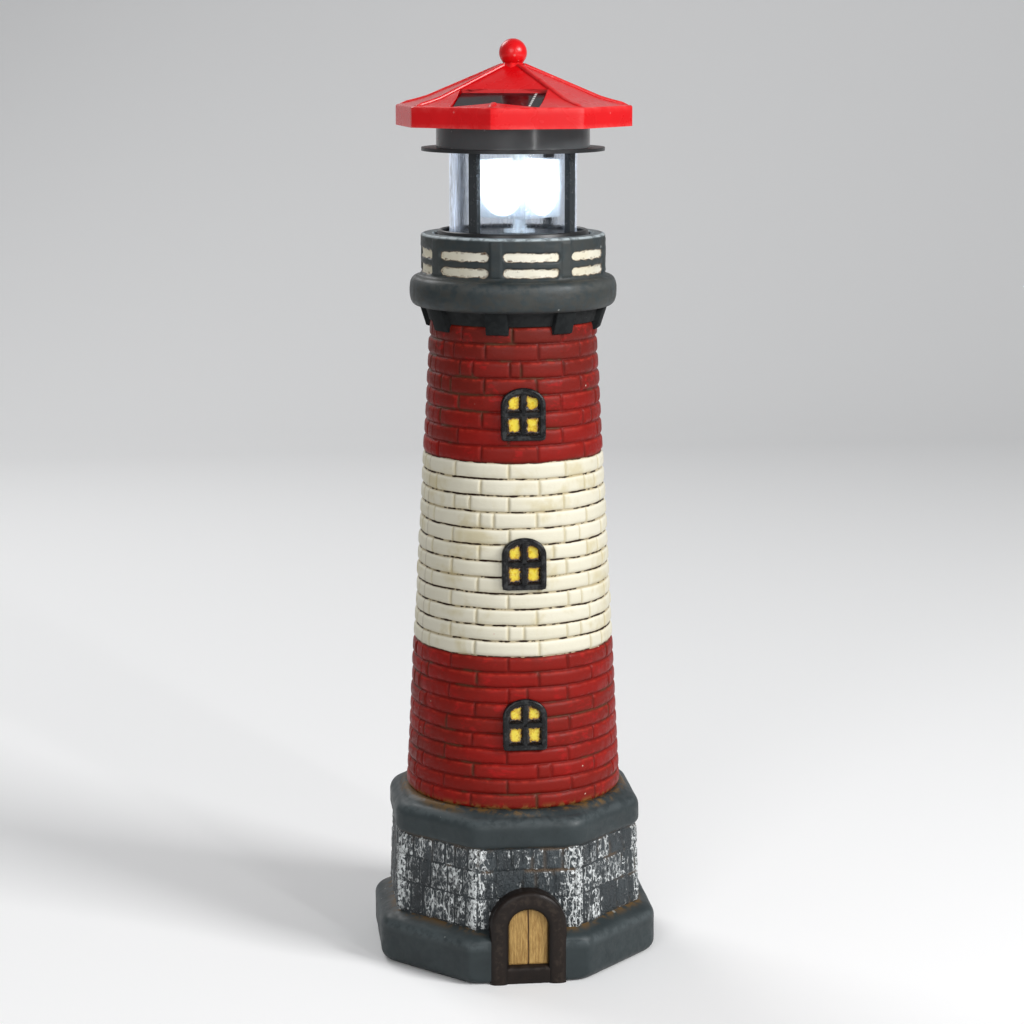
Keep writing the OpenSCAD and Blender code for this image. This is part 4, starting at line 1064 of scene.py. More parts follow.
@dataclass
class Foot:
    """Plinth, stone wall and ledge: three octagons with rounded corners."""

    plinth_r: float = 66.0
    plinth_h: float = 23.0
    plinth_edge: float = 5.0
    plinth_fillet: float = 11.0
    stone_r: float = 58.5
    stone_h: float = 35.0
    stone_lean: float = 1.5
    stone_fillet: float = 1.6
    stone_joints: tuple[float, ...] = (13.4, 25.4)
    ledge_r: float = 58.5
    ledge_h: float = 16.0
    ledge_fillet: float = 12.0
    shaft_r: float = 47.8
    hollow_r: float = 49.05
    front_flat: float = 59.75
    door_back: float = 56.2
    door_half: float = 9.6

    def build_plinth(self) -> None:
        """Plinth with a rounded lower and upper edge, and the rim that it stands on."""
        edge, top = self.plinth_edge, self.plinth_h
        r = self.plinth_r - edge
        upper = arc(r, top - edge - 2, edge, 0, 62, 8)
        outline = evened([(r, 0.0), *arc(r, edge, edge, -84, 0, 8), *upper, (self.stone_r - 1.5, top + 0.2)], 1.4)
        fillets = np.where(outline[:, 1] > top - 1.2, 7.0, self.plinth_fillet)
        grid, ways = octagons(outline, fillets, octagon_columns(26, 10))
        height = grid[..., 2]
        lumps = np.where(height < 0.6, 0.0, rough(grid, 14.0, 3) * 0.22) - 0.12
        grid[..., :2] += ways * lumps[..., None]
        grid[..., 1] = np.maximum(grid[..., 1], -self.front_flat)
        doorway = rise(-np.abs(grid[..., 0]), -self.door_half - 1.4, -self.door_half) * (grid[..., 1] < 0)
        grid[..., 1] += doorway * np.maximum(-self.door_back - grid[..., 1], 0.0)
        # the faint pale band along the rounded upper edge is partly edge wear and partly a painted highlight
        bend = rise(np.abs(height - (top - 5.2)), 3.2, 0.0)
        shape = Shape().sheet(grid, True, edge=bend * 0.1, dirt=rise(height, top - 2.2, top))
        turn = np.degrees(np.arctan2(grid[0, :, 0], -grid[0, :, 1]))
        shape.sheet(np.stack([raised(heading(turn) * self.hollow_r, 0.0), grid[0]]), True, dirt=0.8)
        dress(shape.make("plinth", 50), FINISH.slate)

    def stone_relief(self, along: Array, height: Array, points: Array) -> tuple[Array, Array, Array]:
        """How far the stones stand out, and where joints and white strokes go.

        Args:
            along: Distance round the wall, for each point.
            height: Height above the wall's foot, for each point.
            points: The points themselves.

        Returns:
            Relief in millimetres, where brown seeps from the joints, and brush mask.
        """
        rng = np.random.default_rng(11)
        relief, joint, seep, tone = np.zeros((4, *along.shape))
        levels = (0.0, *self.stone_joints, self.stone_h)
        wave = rough(space(along, 0.0, 0.0), 13.0, 5, 2) * 0.4
        for low, high in zip(levels, levels[1:]):
            edges = np.concatenate([[0.0], np.cumsum(rng.uniform(5.5, 12.0, 80))])
            count = np.searchsorted(edges, along.max())
            edges = edges[:count] * along.max() / edges[count - 1]
            inside = (height >= low + wave) & (height < high + wave)
            which = np.clip(np.searchsorted(edges, along, side="right") - 1, 0, count - 2)
            side = rise(np.minimum(along - edges[which], edges[which + 1] - along), 0.0, 1.5)
            bed = rise(np.minimum(height - low - wave, high + wave - height), 0.0, 1.3)
            out = rng.uniform(0.35, 1.0, count)[which]
            relief = np.where(inside, side * bed * (0.35 + out * 0.6), relief)
            joint = np.where(inside, 1 - side * bed, joint)
            seep = np.where(inside, 1 - bed * (0.55 + 0.45 * side), seep)
            tone = np.where(inside, rng.uniform(0.0, 1.0, count)[which], tone)
        strokes = rough(points * np.array([1.0, 1.0, 0.28]), 2.6, 21)
        relief = relief + 0.3 * strokes * (1 - joint) + 0.22 * rough(points, 2.2, 31)
        patch = rise(rough(points * np.array([1.0, 1.0, 0.45]), 11.0, 41, 2), -0.15, 0.5)
        rim = rise(joint, 0.15, 0.45) * rise(-joint, -0.95, -0.6)
        brush = 0.265 + 0.3 * patch + 0.36 * strokes + 0.16 * rim - 0.3 * (joint > 0.8)
        return relief, seep, brush + 0.2 * (tone > 0.88) - 0.14 * (tone < 0.3)

    def build_stone(self) -> None:
        """The stone wall, its courses drawn in relief on a fine grid."""
        columns = octagon_columns(104, 8)
        zs = np.linspace(-1.2, self.stone_h + 1.0, 96)
        radii = self.stone_r - self.stone_lean * np.clip(zs / self.stone_h, 0, 1)
        rows = np.stack([radii, self.plinth_h + zs], -1)
        grid, ways = octagons(rows, np.full(len(rows), self.stone_fillet), columns)
        step = np.linalg.norm(np.diff(grid[0, :, :2], axis=0, append=grid[0, :1, :2]), axis=1)
        along = np.broadcast_to(np.concatenate([[0.0], np.cumsum(step)[:-1]]), grid.shape[:2])
        relief, seep, brush = self.stone_relief(along, grid[..., 2] - self.plinth_h, grid)
        turn, side, bend = columns.T
        corner = np.maximum(bend > 0, rise(np.abs(side), 0.8, 0.88))
        brush = brush + 0.4 * corner + np.where(turn == 7 * SIDE, 0.16, 0.0)
        grid[..., :2] += ways * ((relief - 0.75) * 0.85)[..., None]
        dress(Shape().sheet(grid, True, joint=seep, brush=brush).make("stone_wall"), FINISH.stone)

    def build_ledge(self) -> None:
        """The smooth ledge between the stones and the bricks."""
        foot = self.plinth_h + self.stone_h
        top = foot + self.ledge_h
        nose = [*arc(self.ledge_r - 3, foot + 3, 3, -70, 0, 7), *arc(self.ledge_r - 6, top - 8, 6, 0, 72, 12)]
        back = (self.stone_r - self.stone_lean - 4.0, foot + 0.4)
        outline = evened([back, (self.ledge_r - 2.6, foot + 0.2), *nose], 1.4)
        inner = rise(self.ledge_r - outline[:, 0], 2.0, 5.0) * (outline[:, 1] > foot + 8)
        grid, ways = octagons(outline, self.ledge_fillet + inner * 9.0, octagon_columns(26, 10))
        last = grid[-1]
        ring = last[:, :2] / np.linalg.norm(last[:, :2], axis=1, keepdims=True)
        ring = raised(ring * (self.shaft_r + 0.6), top)
        slope = [last + (ring - last) * np.array([t, t, 1 - (1 - t) ** 1.6]) for t in np.linspace(0.2, 1, 5)]
        grid = np.concatenate([grid, slope, [ring * np.array([0.94, 0.94, 1.0])]])
        grid[..., :2] += ways * (rough(grid, 15.0, 8) * 0.25 - 0.1)[..., None]
        height = grid[..., 2]
        away = np.hypot(grid[..., 0], grid[..., 1]) - self.shaft_r
        dirt = rise(-away, -3.8, -0.6) * 1.3 + rise(foot + 1.6 - height, 0.0, 1.2) * 0.5
        # the faint pale band along the rounded shoulder is partly edge wear and partly a painted highlight
        worn = rise(np.abs(height - (top - 4.0)), 3.0, 0.0) * 0.08
        dress(Shape().sheet(grid, True, edge=worn, dirt=dirt).make("ledge", 60), FINISH.slate)

    def build(self) -> None:
        """Builds the plinth, the stone wall and the ledge."""
        self.build_plinth()
        self.build_stone()
        self.build_ledge()


# ------------------------------------------------------------------ the brick shaft


@dataclass
class Shaft:
    """Thirty courses of bulging bricks in running bond, in red, cream and red."""

    foot_r: float = 47.8
    head_r: float = 36.2
    foot_z: float = 74.0
    height: float = 207.0
    courses: int = 30
    growth: float = 0.054
    bulge: float = 1.15
    per_course: int = 10
    odd_turn: float = -9.4
    even_turn: float = 8.2
    cream_from: int = 10
    cream_to: int = 22
    columns: int = 720
    seam_turn: float = -71.0
    noise_r: float = 42.0
    recess: float = 2.6
    windows: tuple[float, ...] = (100.2, 169.6, 233.2)

    def radius(self, z: Array | float) -> Array | float:
        """Radius of the joints at a height above the ground."""
        return self.foot_r + (self.head_r - self.foot_r) * (z - self.foot_z) / self.height - self.bulge

    def course_z(self, i: float) -> float:
        """Height above the ground of a point in the courses."""
        t = i / self.courses
        return self.foot_z + self.height * t * (1 + self.growth * (t - 1))

    def joints(self, course: int, rng: np.random.Generator) -> Array:
        """Turns of the upright joints in a course.

        Args:
            course: Number of the course, counted from the foot.
            rng: Source of the small differences.

        Returns:
            The turns, sorted and within one full turn.
        """
        first = (self.odd_turn if course % 2 else self.even_turn) + (course / self.courses - 0.4) * 3.0
        turns = first + around(self.per_course) + rng.uniform(-1.1, 1.1, self.per_course)
        extra = [turns[k] + rng.uniform(7.5, 12.0) for k in range(self.per_course) if rng.random() < 0.14]
        return np.sort(np.concatenate([turns, extra]) % 360.0)

    def build(self) -> None:
        """The bricks' skin, with rows that follow the joints of each course."""
        rng = np.random.default_rng(29)
        steps = np.array([0.0, 0.035, 0.08, 0.14, 0.22, 0.34, 0.5, 0.66, 0.78, 0.86, 0.92, 0.965])[:, None]
        turns = around(self.columns)
        ways = heading(turns)
        plan = ways * self.noise_r
        lines = []
        for i in range(self.courses + 1):
            level = raised(plan, 40.0 * i)
            wave = rough(level, 17.0, 50 + i) * 0.42 + rough(level, 5.0, 90 + i, 2) * 0.16
            lines.append(self.course_z(i) + (0 if i in (0, self.courses) else wave))
        grids: list[Array] = []
        marks: dict[str, list[Array]] = {}
        for i, (low_z, high_z) in enumerate(zip(lines, lines[1:])):
            joints = self.joints(i, rng)
            which = np.searchsorted(joints, turns, side="right") % len(joints)
            left, right = (turns - joints[which - 1]) % 360.0, (joints[which] - turns) % 360.0
            arc_mm = math.radians(1.0) * self.radius(self.course_z(i + 0.5))
            side = np.abs(np.minimum(left, right) * arc_mm + rough(raised(plan, 31.0 * i), 3.0, 7, 2) * 0.1)
            stand = rng.uniform(0.72, 1.0, len(joints))[which]
            tilt = rng.uniform(-0.12, 0.12, len(joints))[which] * (left / (left + right) - 0.5) * 2
            tint = rng.uniform(0.0, 1.0, len(joints))[which]
            z = low_z + (high_z - low_z) * steps
            gap = (high_z - low_z) * np.minimum(steps, 1 - steps)
            bed_face = 1 - (1 - np.clip(gap / 2.1, 0, 1)) ** 2.3
            head_face = 1 - (1 - np.clip(side / 1.5, 0, 1)) ** 2.2
            face = bed_face * (0.22 + 0.78 * head_face)
            crown = 0.12 * (1 - (2 * steps - 1) ** 2)
            out = self.bulge * face * (stand + tilt) + crown * bed_face - 0.08
            skin = rough(raised(plan, z[0]), 6.0, 13) * 0.1
            grids.append(raised(ways * (self.radius(z) + out + skin)[..., None], z))
            course = {
                "bed": bell(gap, 0.5),
                "head": bell(side, 0.62) * (gap > 0.3),
                "tint": tint,
                "band": float(self.cream_from <= i < self.cream_to),
                # painted highlight along each brick's upper edge
                "crest": bell(steps - 0.86, 0.07) * head_face,
            }
            for key, mark in course.items():
                marks.setdefault(key, []).append(np.broadcast_to(mark, z.shape))
        last = grids[-1][-1:].copy()
        last[..., 2] = self.course_z(self.courses)
        grid = np.concatenate([*grids, last])
        values = {key: np.concatenate([*rows, rows[-1][-1:]]) for key, rows in marks.items()}
        seam = bell(turns - self.seam_turn % 360.0, 0.5)
        grid[..., :2] *= (1 + 0.006 * seam)[:, None]
        height = grid[..., 2]
        half, crown = Window.width / 2, Window.crown
        for sill in self.windows:
            x = np.clip(grid[..., 0] / half, -1, 1)
            under = sill + Window.height - crown + crown * np.sqrt(1 - x * x) - height
            inside = np.minimum(np.minimum(under, height - sill), half - np.abs(grid[..., 0]))
            grid[..., 1] += rise(inside, 1.0, 1.9) * (grid[..., 1] < 0) * self.recess
        # top marks painted shade, darker towards the head of the shaft under the gallery; foot marks the wash at the
        # foot
        foot, top = rise(-height, -self.foot_z - 3.0, -self.foot_z), rise(height, 235.0, 278.0)
        shape = Shape().sheet(grid, True, **values, seam=seam * 0.6, foot=foot, top=top)
        dress(shape.make("brick_shaft"), FINISH.brick)


# ------------------------------------------------------------------ windows and door


@dataclass
class Window:
    """An arched window: a moulded frame with a cross, and four painted panes set back in it."""

    number: int
    sill_z: float
    shaft: Shaft
    width: float = 19.0
    height: float = 22.4
    crown: float = 7.5
    bar: float = 2.6
    cross: float = 2.2
    out: float = 1.5
    pane_back: float = 0.5

    @property
    def reach(self) -> float:
        """Half the width of what lies inside the frame."""
        return self.width / 2 - self.bar * 0.6

    @property
    def middle(self) -> float:
        """Height of the crossbar above the sill."""
        return self.bar + (self.height - 2 * self.bar - self.cross) * 0.49 + self.cross / 2

    def place(self, grid: Array) -> Array:
        """Leans points against the tapering shaft.

        Args:
            grid: Points drawn on the front plane, with -Y outwards.

        Returns:
            The points in the part's frame.
        """
        lean = math.atan((self.shaft.foot_r - self.shaft.head_r) / self.shaft.height)
        front = self.shaft.radius(self.sill_z) + self.shaft.bulge
        x, y, z = np.moveaxis(grid, -1, 0)
        up, back = math.cos(lean), math.sin(lean)
        return space(x, -front + y * up + z * back, self.sill_z + z * up - y * back)

    def moulding(self, half: float, deep: float) -> Array:
        """A half-round section with straight sides.

        Args:
            half: Half its width.
            deep: How far it reaches back behind the face.

        Returns:
            Offsets, and heights above the face, from one side to the other.
        """
        angles, foot = np.radians(np.linspace(0, 180, 11)), self.out * 0.2
        crown = [(half * math.cos(a), self.out * (0.45 + 0.55 * math.sin(a) ** 0.8)) for a in angles]
        return np.array([(half, -deep), (half, foot), *crown, (-half, foot), (-half, -deep)]).T

    def build_frame(self) -> None:
        """Frame and cross as one moulding."""
        width, height = self.width - self.bar, self.height - self.bar
        path, ways = arch_path(width, height, self.crown - self.bar / 2, 0.8, closed=True)
        path[:, 1] += self.bar / 2
        across, out = self.moulding(self.bar / 2, 5.0)
        grid = sweep(path, ways, across, out)
        worn = rise(out, self.out * 0.55, self.out)
        shape = Shape().sheet(self.place(np.concatenate([grid, grid[:1]])), edge=worn)
        across, out = self.moulding(self.cross / 2, 1.2)
        out = np.minimum(out, self.out * 0.85) - 0.1
        up = self.bar * 0.7 + np.linspace(0, self.height - 1.5 * self.bar, 24)
        over = np.linspace(-self.reach, self.reach, 24)
        for x, z, way in ((0 * up, up, (-1.0, 0.0)), (over, 0 * over + self.middle, (0.0, 1.0))):
            grid = sweep(np.stack([x, z], -1), np.tile(way, (24, 1)), across, out)
            shape.sheet(self.place(grid), edge=0.5)
        dress(shape.make(f"window_frame_{self.number}", 65), FINISH.frame)

    def build_panes(self) -> None:
        """The four panes as one cushioned sheet, with a dab of paint in each."""
        low, high = self.bar * 0.6, self.height - self.bar * 0.6
        x, z = np.meshgrid(np.linspace(-self.reach, self.reach, 57), np.linspace(low, high, 65))
        bow = np.sqrt(np.clip(1 - (x / (self.width / 2)) ** 2, 0, 1))
        arch_top = self.height - self.crown + self.crown * bow - self.bar
        z = low + (z - low) * (arch_top + self.bar * 0.4 - low) / (high - low)
        above, half = z - self.middle, self.cross / 2
        from_cross = np.minimum(np.abs(x) - half, np.abs(above) - half)
        from_frame = np.minimum(self.width / 2 - self.bar - np.abs(x), z - self.bar)
        from_arch = np.where(above > 0, (arch_top - z) * 0.8, 9.0)
        depth = np.clip(np.minimum(np.minimum(from_cross, from_frame), from_arch), -1, 3)
        lumps = rough(space(x, z, self.number * 30.0), 1.6, 60 + self.number, 2)
        out = 0.25 * rise(depth, 0.0, 1.4) + lumps * 0.14 - self.pane_back
        below = np.where(above > 0, above - half, z - self.bar)
        dab = rise(depth, -0.1, 1.3) * 0.75 + 0.3 * rise(depth, 0.6, 2.2)
        dab = np.clip(dab - 0.55 * rise(-below, -2.6, -0.6) + lumps * 0.22, 0, 1.2)
        shape = Shape().sheet(self.place(space(x, -out, z)), dab=dab)
        dress(shape.make(f"window_panes_{self.number}"), FINISH.pane)

    def build(self) -> None:
        """Builds the frame and the panes."""
        self.build_frame()
        self.build_panes()


@dataclass
class Doorway:
    """A rounded stone surround, a threshold and a leaf of two planks."""

    width: float = 33.0
    height: float = 41.2
    leaf_w: float = 17.0
    leaf_h: float = 25.0
    threshold: float = 8.0
    front: float = 60.9
    leaf_back: float = 3.4
    wall_back: float = 9.0

    def build_surround(self) -> None:
        """The rounded band from foot to foot over the leaf."""
        side = (self.width - self.leaf_w) / 2
        crown = self.height - self.threshold - self.leaf_h
        mid_w, mid_h = self.width - side, self.height - crown / 2
        path, ways = arch_path(mid_w, mid_h, mid_w * 0.48, 0.9)
        share = rise(path[:, 1], mid_h * 0.55, mid_h)
        half = side / 2 * (1 - share) + crown / 2 * share
        turns = np.linspace(0, math.pi, 19)
        across = np.array([1.0, *np.cos(turns), -1.0])
        deep = np.where(np.cos(turns) < 0, self.leaf_back * 0.9, 2.6)
        out = np.array([-self.wall_back, *(deep * np.sin(turns) ** 0.62 - deep), -self.leaf_back - 1.2])
        grid = sweep(path, ways, half[:, None] * across, self.front + out)
        grid[..., 1] += np.abs(rough(grid, 7.0, 71)) * 0.16
        worn = rise(-np.abs(across - 0.1), -0.75, -0.1)
        # marks painted shade on the band's inner side beside the leaf
        shape = Shape().sheet(grid, edge=worn, reveal=rise(-across, 0.45, 0.9))
        dress(shape.make("door_surround", 70), FINISH.surround)

    def build_threshold(self) -> None:
        """The step under the leaf, with a rounded nose."""
        half = self.leaf_w / 2 + 0.8
        nose = [(-1.2, 0.0), (-0.7, 2.0), (-0.7, 5.4), (-1.0, 6.6), (-1.7, 7.4), (-2.6, 7.8)]
        out, z = evened([*nose, (-self.leaf_back - 0.6, self.threshold)], 0.7).T[..., None]
        grid = space(np.linspace(-half, half, 31), -self.front - out, z)
        grid[..., 1] += np.abs(rough(grid, 4.0, 73)) * 0.3
        # a little painted shade over the threshold in the doorway
        shape = Shape().sheet(grid, edge=rise(-np.abs(z - 7.0), -1.4, -0.2) * 0.8, reveal=0.12)
        dress(shape.make("door_threshold"), FINISH.surround)

    def build_leaf(self) -> None:
        """Two planks with a joint between them."""
        half, crown = self.leaf_w / 2, self.leaf_w * 0.36
        x, z = np.meshgrid(np.linspace(-half - 0.4, half + 0.4, 81), np.linspace(-0.6, self.leaf_h + 0.8, 101))
        top = self.leaf_h - crown + crown * np.sqrt(np.clip(1 - (x / half) ** 2, 0, 1))
        grain = rough(space(x, z * 0.2, 0.0), 1.0, 81)
        gap = bell(x - rough(space(z, 0.0, 0.0), 6.0, 83, 2) * 0.3, 0.42)
        rim = np.minimum(np.minimum(top - z, half - np.abs(x)), z)
        out = 0.3 * rise(rim, 0.0, 0.7) - 0.5 * gap + grain * 0.12 - self.leaf_back
        joint = np.maximum(gap * 0.95, rise(-rim, -0.5, 0.15)) + grain * 0.08
        shape = Shape().sheet(space(x, -self.front - out, z + self.threshold), joint=joint)
        dress(shape.make("door_leaf"), FINISH.plank)

    def build(self) -> None:
        """Builds the surround, the threshold and the leaf."""
        self.build_surround()
        self.build_threshold()
        self.build_leaf()


# ------------------------------------------------------------------ gallery


@dataclass
class Gallery:
    """Collar, brackets, belt and slotted wall at the head of the tower, and the casting's inside."""

    wall_r: float = 39.9
    socket_r: float = 33.7
    throat_r: float = 31.0
    wall_z: float = 301.0
    top_z: float = 318.0
    belt_z: float = 286.0
    belt_h: float = 15.0
    belt_r: float = 44.9
    collar_z: float = 281.0
    shaft_head_r: float = Shaft.head_r
    seat_z: float = 285.8
    panels: int = 8
    panel_turn: float = 5.5
    slot_z: tuple[float, float] = (303.6, 310.2)
    slot_h: float = 4.0
    slot_share: float = 0.8
    slot_depth: float = 0.9
    bracket_w: float = 9.8
    bracket_drop: float = 3.8
    columns: int = 720
    hollow: Outline = ((31.2, 273.0), (42.8, 76.0), (Foot.hollow_r, 54.0), (Foot.hollow_r, 0.0))

    @property
    def pitch(self) -> float:
        """Turn from one panel to the next."""
        return 360.0 / self.panels

    def outline(self) -> Array:
        """The turned skin's line from the collar over the belt into the socket.

        Returns:
            Radius and height of each point.
        """
        mid, edge = self.belt_z + self.belt_h / 2, self.belt_h / 2 - 1
        belt = [
            (self.belt_r - edge + edge * math.cos(a) ** 0.4, mid + edge * math.copysign(abs(math.sin(a)) ** 0.9, a))
            for a in np.radians(np.linspace(-80, 82, 30))
        ]
        head, wall, socket, top = self.shaft_head_r, self.wall_r, self.socket_r, self.top_z
        collar = [(head - 1.2, self.collar_z - 0.3), (head + 0.3, self.collar_z), (head + 1.6, self.belt_z - 0.6)]
        belt = [(self.belt_r - edge + 0.2, self.belt_z + 0.9), *belt, (wall + 0.5, self.wall_z - 0.5)]
        rim = [(wall, self.wall_z + 0.4), (wall, top - 1.1), (wall - 0.3, top - 0.35), (wall - 1.1, top)]
        mouth = [(socket + 0.9, top), (socket + 0.2, top - 0.3), (socket, top - 1.1)]
        return evened([*collar, *belt, *rim, *mouth], 0.42)

    def slot_field(self, turns: Array, z: Array) -> tuple[Array, Array]:
        """How deep a point lies in a slot, and where slots are stained.

        Args:
            turns: Turn of each point.
            z: Height of each point.

        Returns:
            Distance in from the slot's edge, and the stain mask.
        """
        place = (turns - self.panel_turn + self.pitch / 2) % self.pitch - self.pitch / 2
        number = np.round((turns - self.panel_turn) / self.pitch).astype(int) % self.panels
        x = np.radians(place) * self.wall_r
        half_w = math.pi * self.wall_r / self.panels * self.slot_share
        best, rust = np.full(x.shape, -9.0), np.zeros(x.shape)
        points = space(x + number * 50.0, z * 1.5, 0.0)
        ragged = rough(points, 3.2, 15) * 0.5 + rough(points, 1.3, 16, 2) * 0.3
        for middle, least in zip(self.slot_z, (-0.3, 0.05)):
            lean = (number % 3 - 1) * 0.012 * x
            dx = np.maximum(np.abs(x) - (half_w - self.slot_h / 2), 0)
            inside = self.slot_h / 2 - np.hypot(dx, (z - middle - lean) * 1.02)
            best = np.maximum(best, inside + ragged * 0.75)
            edge = rise(-np.abs(inside - 0.3), -0.9, -0.3) * rise(ragged, least, 0.25)
            rust = np.maximum(rust, edge * (0.45 + 0.55 * rise(np.abs(x), half_w - 7.0, half_w - 2.0)))
        blot = rise(-np.hypot((x + 7.5) / 3.2, z - self.slot_z[0] - 1.5), -1.3, -0.5)
        return best, np.maximum(rust, (number == 0) * blot)

    def build_wall(self) -> None:
        """Collar, belt, slotted wall, rim and socket as one turned skin with relief."""
        grid = revolve(self.outline(), self.columns)
        z, away = grid[..., 2], np.hypot(grid[..., 0], grid[..., 1])
        turns = np.broadcast_to(around(self.columns), z.shape)
        on_wall = (z > self.wall_z - 0.2) & (away > self.wall_r - 0.2)
        depth, rust = self.slot_field(turns, z)
        post = (turns - self.panel_turn) % self.pitch - self.pitch / 2
        post_mm = np.abs(np.radians(post) * self.wall_r)
        lumps = rough(grid, 12.0, 17) * 0.28
        ripple = rough(grid * np.array([1, 1, 3.0]), 7.0, 19, 2) * 0.12
        fade = rise(z, self.wall_z, self.wall_z + 1.5) * rise(-z, -self.top_z + 0.6, -self.top_z + 2.4)
        pilaster = 0.5 * rise(-post_mm, -3.0, -1.8) * fade
        cut = -self.slot_depth * rise(depth, -0.5, 0.45)
        out = np.where(on_wall, pilaster + cut, 0.0) + lumps * 0.5 + ripple - 0.2
        out = np.where(away < self.socket_r + 0.6, 0.0, out)
        grid[..., :2] += heading(turns) * out[..., None]
        away = np.hypot(grid[..., 0], grid[..., 1])
        outer = rise(away, self.wall_r - 2.0, self.wall_r - 1.0)
        lip = np.maximum(outer, rise(-away, -self.socket_r - 1.6, -self.socket_r - 0.6))
        crown = self.belt_z + self.belt_h / 2 + 4
        worn = rise(z, self.top_z - 1.2, self.top_z - 0.4) * (0.45 + 0.9 * lip)
        shape = Shape().sheet(
            grid,
            True,
            # the faint pale band round the belt's upper crown is a painted highlight; worn is wear on the rim
            edge=worn + 0.06 * rise(-np.abs(z - crown), -3.0, 0.0),
            dirt=np.where(on_wall, 0.08, 0.12),
            cream=np.where(on_wall, rise(depth, -0.8, 0.8), 0.0),
            rust=rust * on_wall,
            # painted shade: near-black on the collar and the belt's lower edge, under the belt
            shade=rise(-z, -self.belt_z - 2.8, -self.belt_z + 0.2),
        )
        dress(shape.make("gallery", 75), FINISH.slate)

    def build_brackets(self) -> None:
        """Eight blocks that lean out from the shaft to the belt, as one piece."""
        foot, top = self.collar_z - self.bracket_drop, self.belt_z + 1.6
        low_out, high_out = self.shaft_head_r + 1.2, self.wall_r + 0.9
        t = np.array([0.0, 0.0, 0.06, 0.2, 0.45, 0.7, 1.0])[:, None]
        across = np.array([-1.0, -0.97, -0.86, 0.0, 0.86, 0.97, 1.0]) * self.bracket_w / 2
        inset = np.array([3.5, 0.45, 0.0, 0.0, 0.0, 0.45, 3.5])
        reach = low_out + (high_out - low_out) * t - 0.5 * (t < 0.05) - inset
        z = foot + (top - foot) * t + 0.25 * (t == 0)
        reach[0], z[0] = self.shaft_head_r - 3.0, foot
        shape = Shape()
        for i in range(self.panels):
            turn = self.panel_turn + self.pitch * (i + 0.5)
            plan = heading(turn) * reach[..., None] + heading(turn + 90) * across[:, None]
            # painted shade on the brackets under the belt, over the darker slate paint
            shape.sheet(raised(plan, z), edge=0.1, dirt=0.05, shade=0.75)
        dress(shape.make("gallery_brackets", 40), FINISH.dark_slate)

    def build_inside(self) -> None:
        """The hollow of the casting, from the foot to the socket's mouth."""
        seat, throat = self.seat_z, self.throat_r
        mouth = [(self.socket_r, self.top_z - 1.1), (self.socket_r, seat), (throat, seat), (throat, seat - 2)]
        outline = evened([*mouth, *self.hollow], 4.0)
        grid = revolve(outline, 144)
        loose = (grid[..., 2] < seat - 4) & (grid[..., 2] > 0.5)
        lumps = np.where(loose, rough(grid, 10.0, 23) * 0.35, 0.0)
        grid[..., :2] += heading(around(144)) * lumps[..., None]
        dress(Shape().sheet(grid, True).make("casting_inside", 50), FINISH.casting)

    def build(self) -> None:
        """Builds the gallery, the brackets and the casting's inside."""
        self.build_wall()
        self.build_brackets()
        self.build_inside()


# ------------------------------------------------------------------ roof


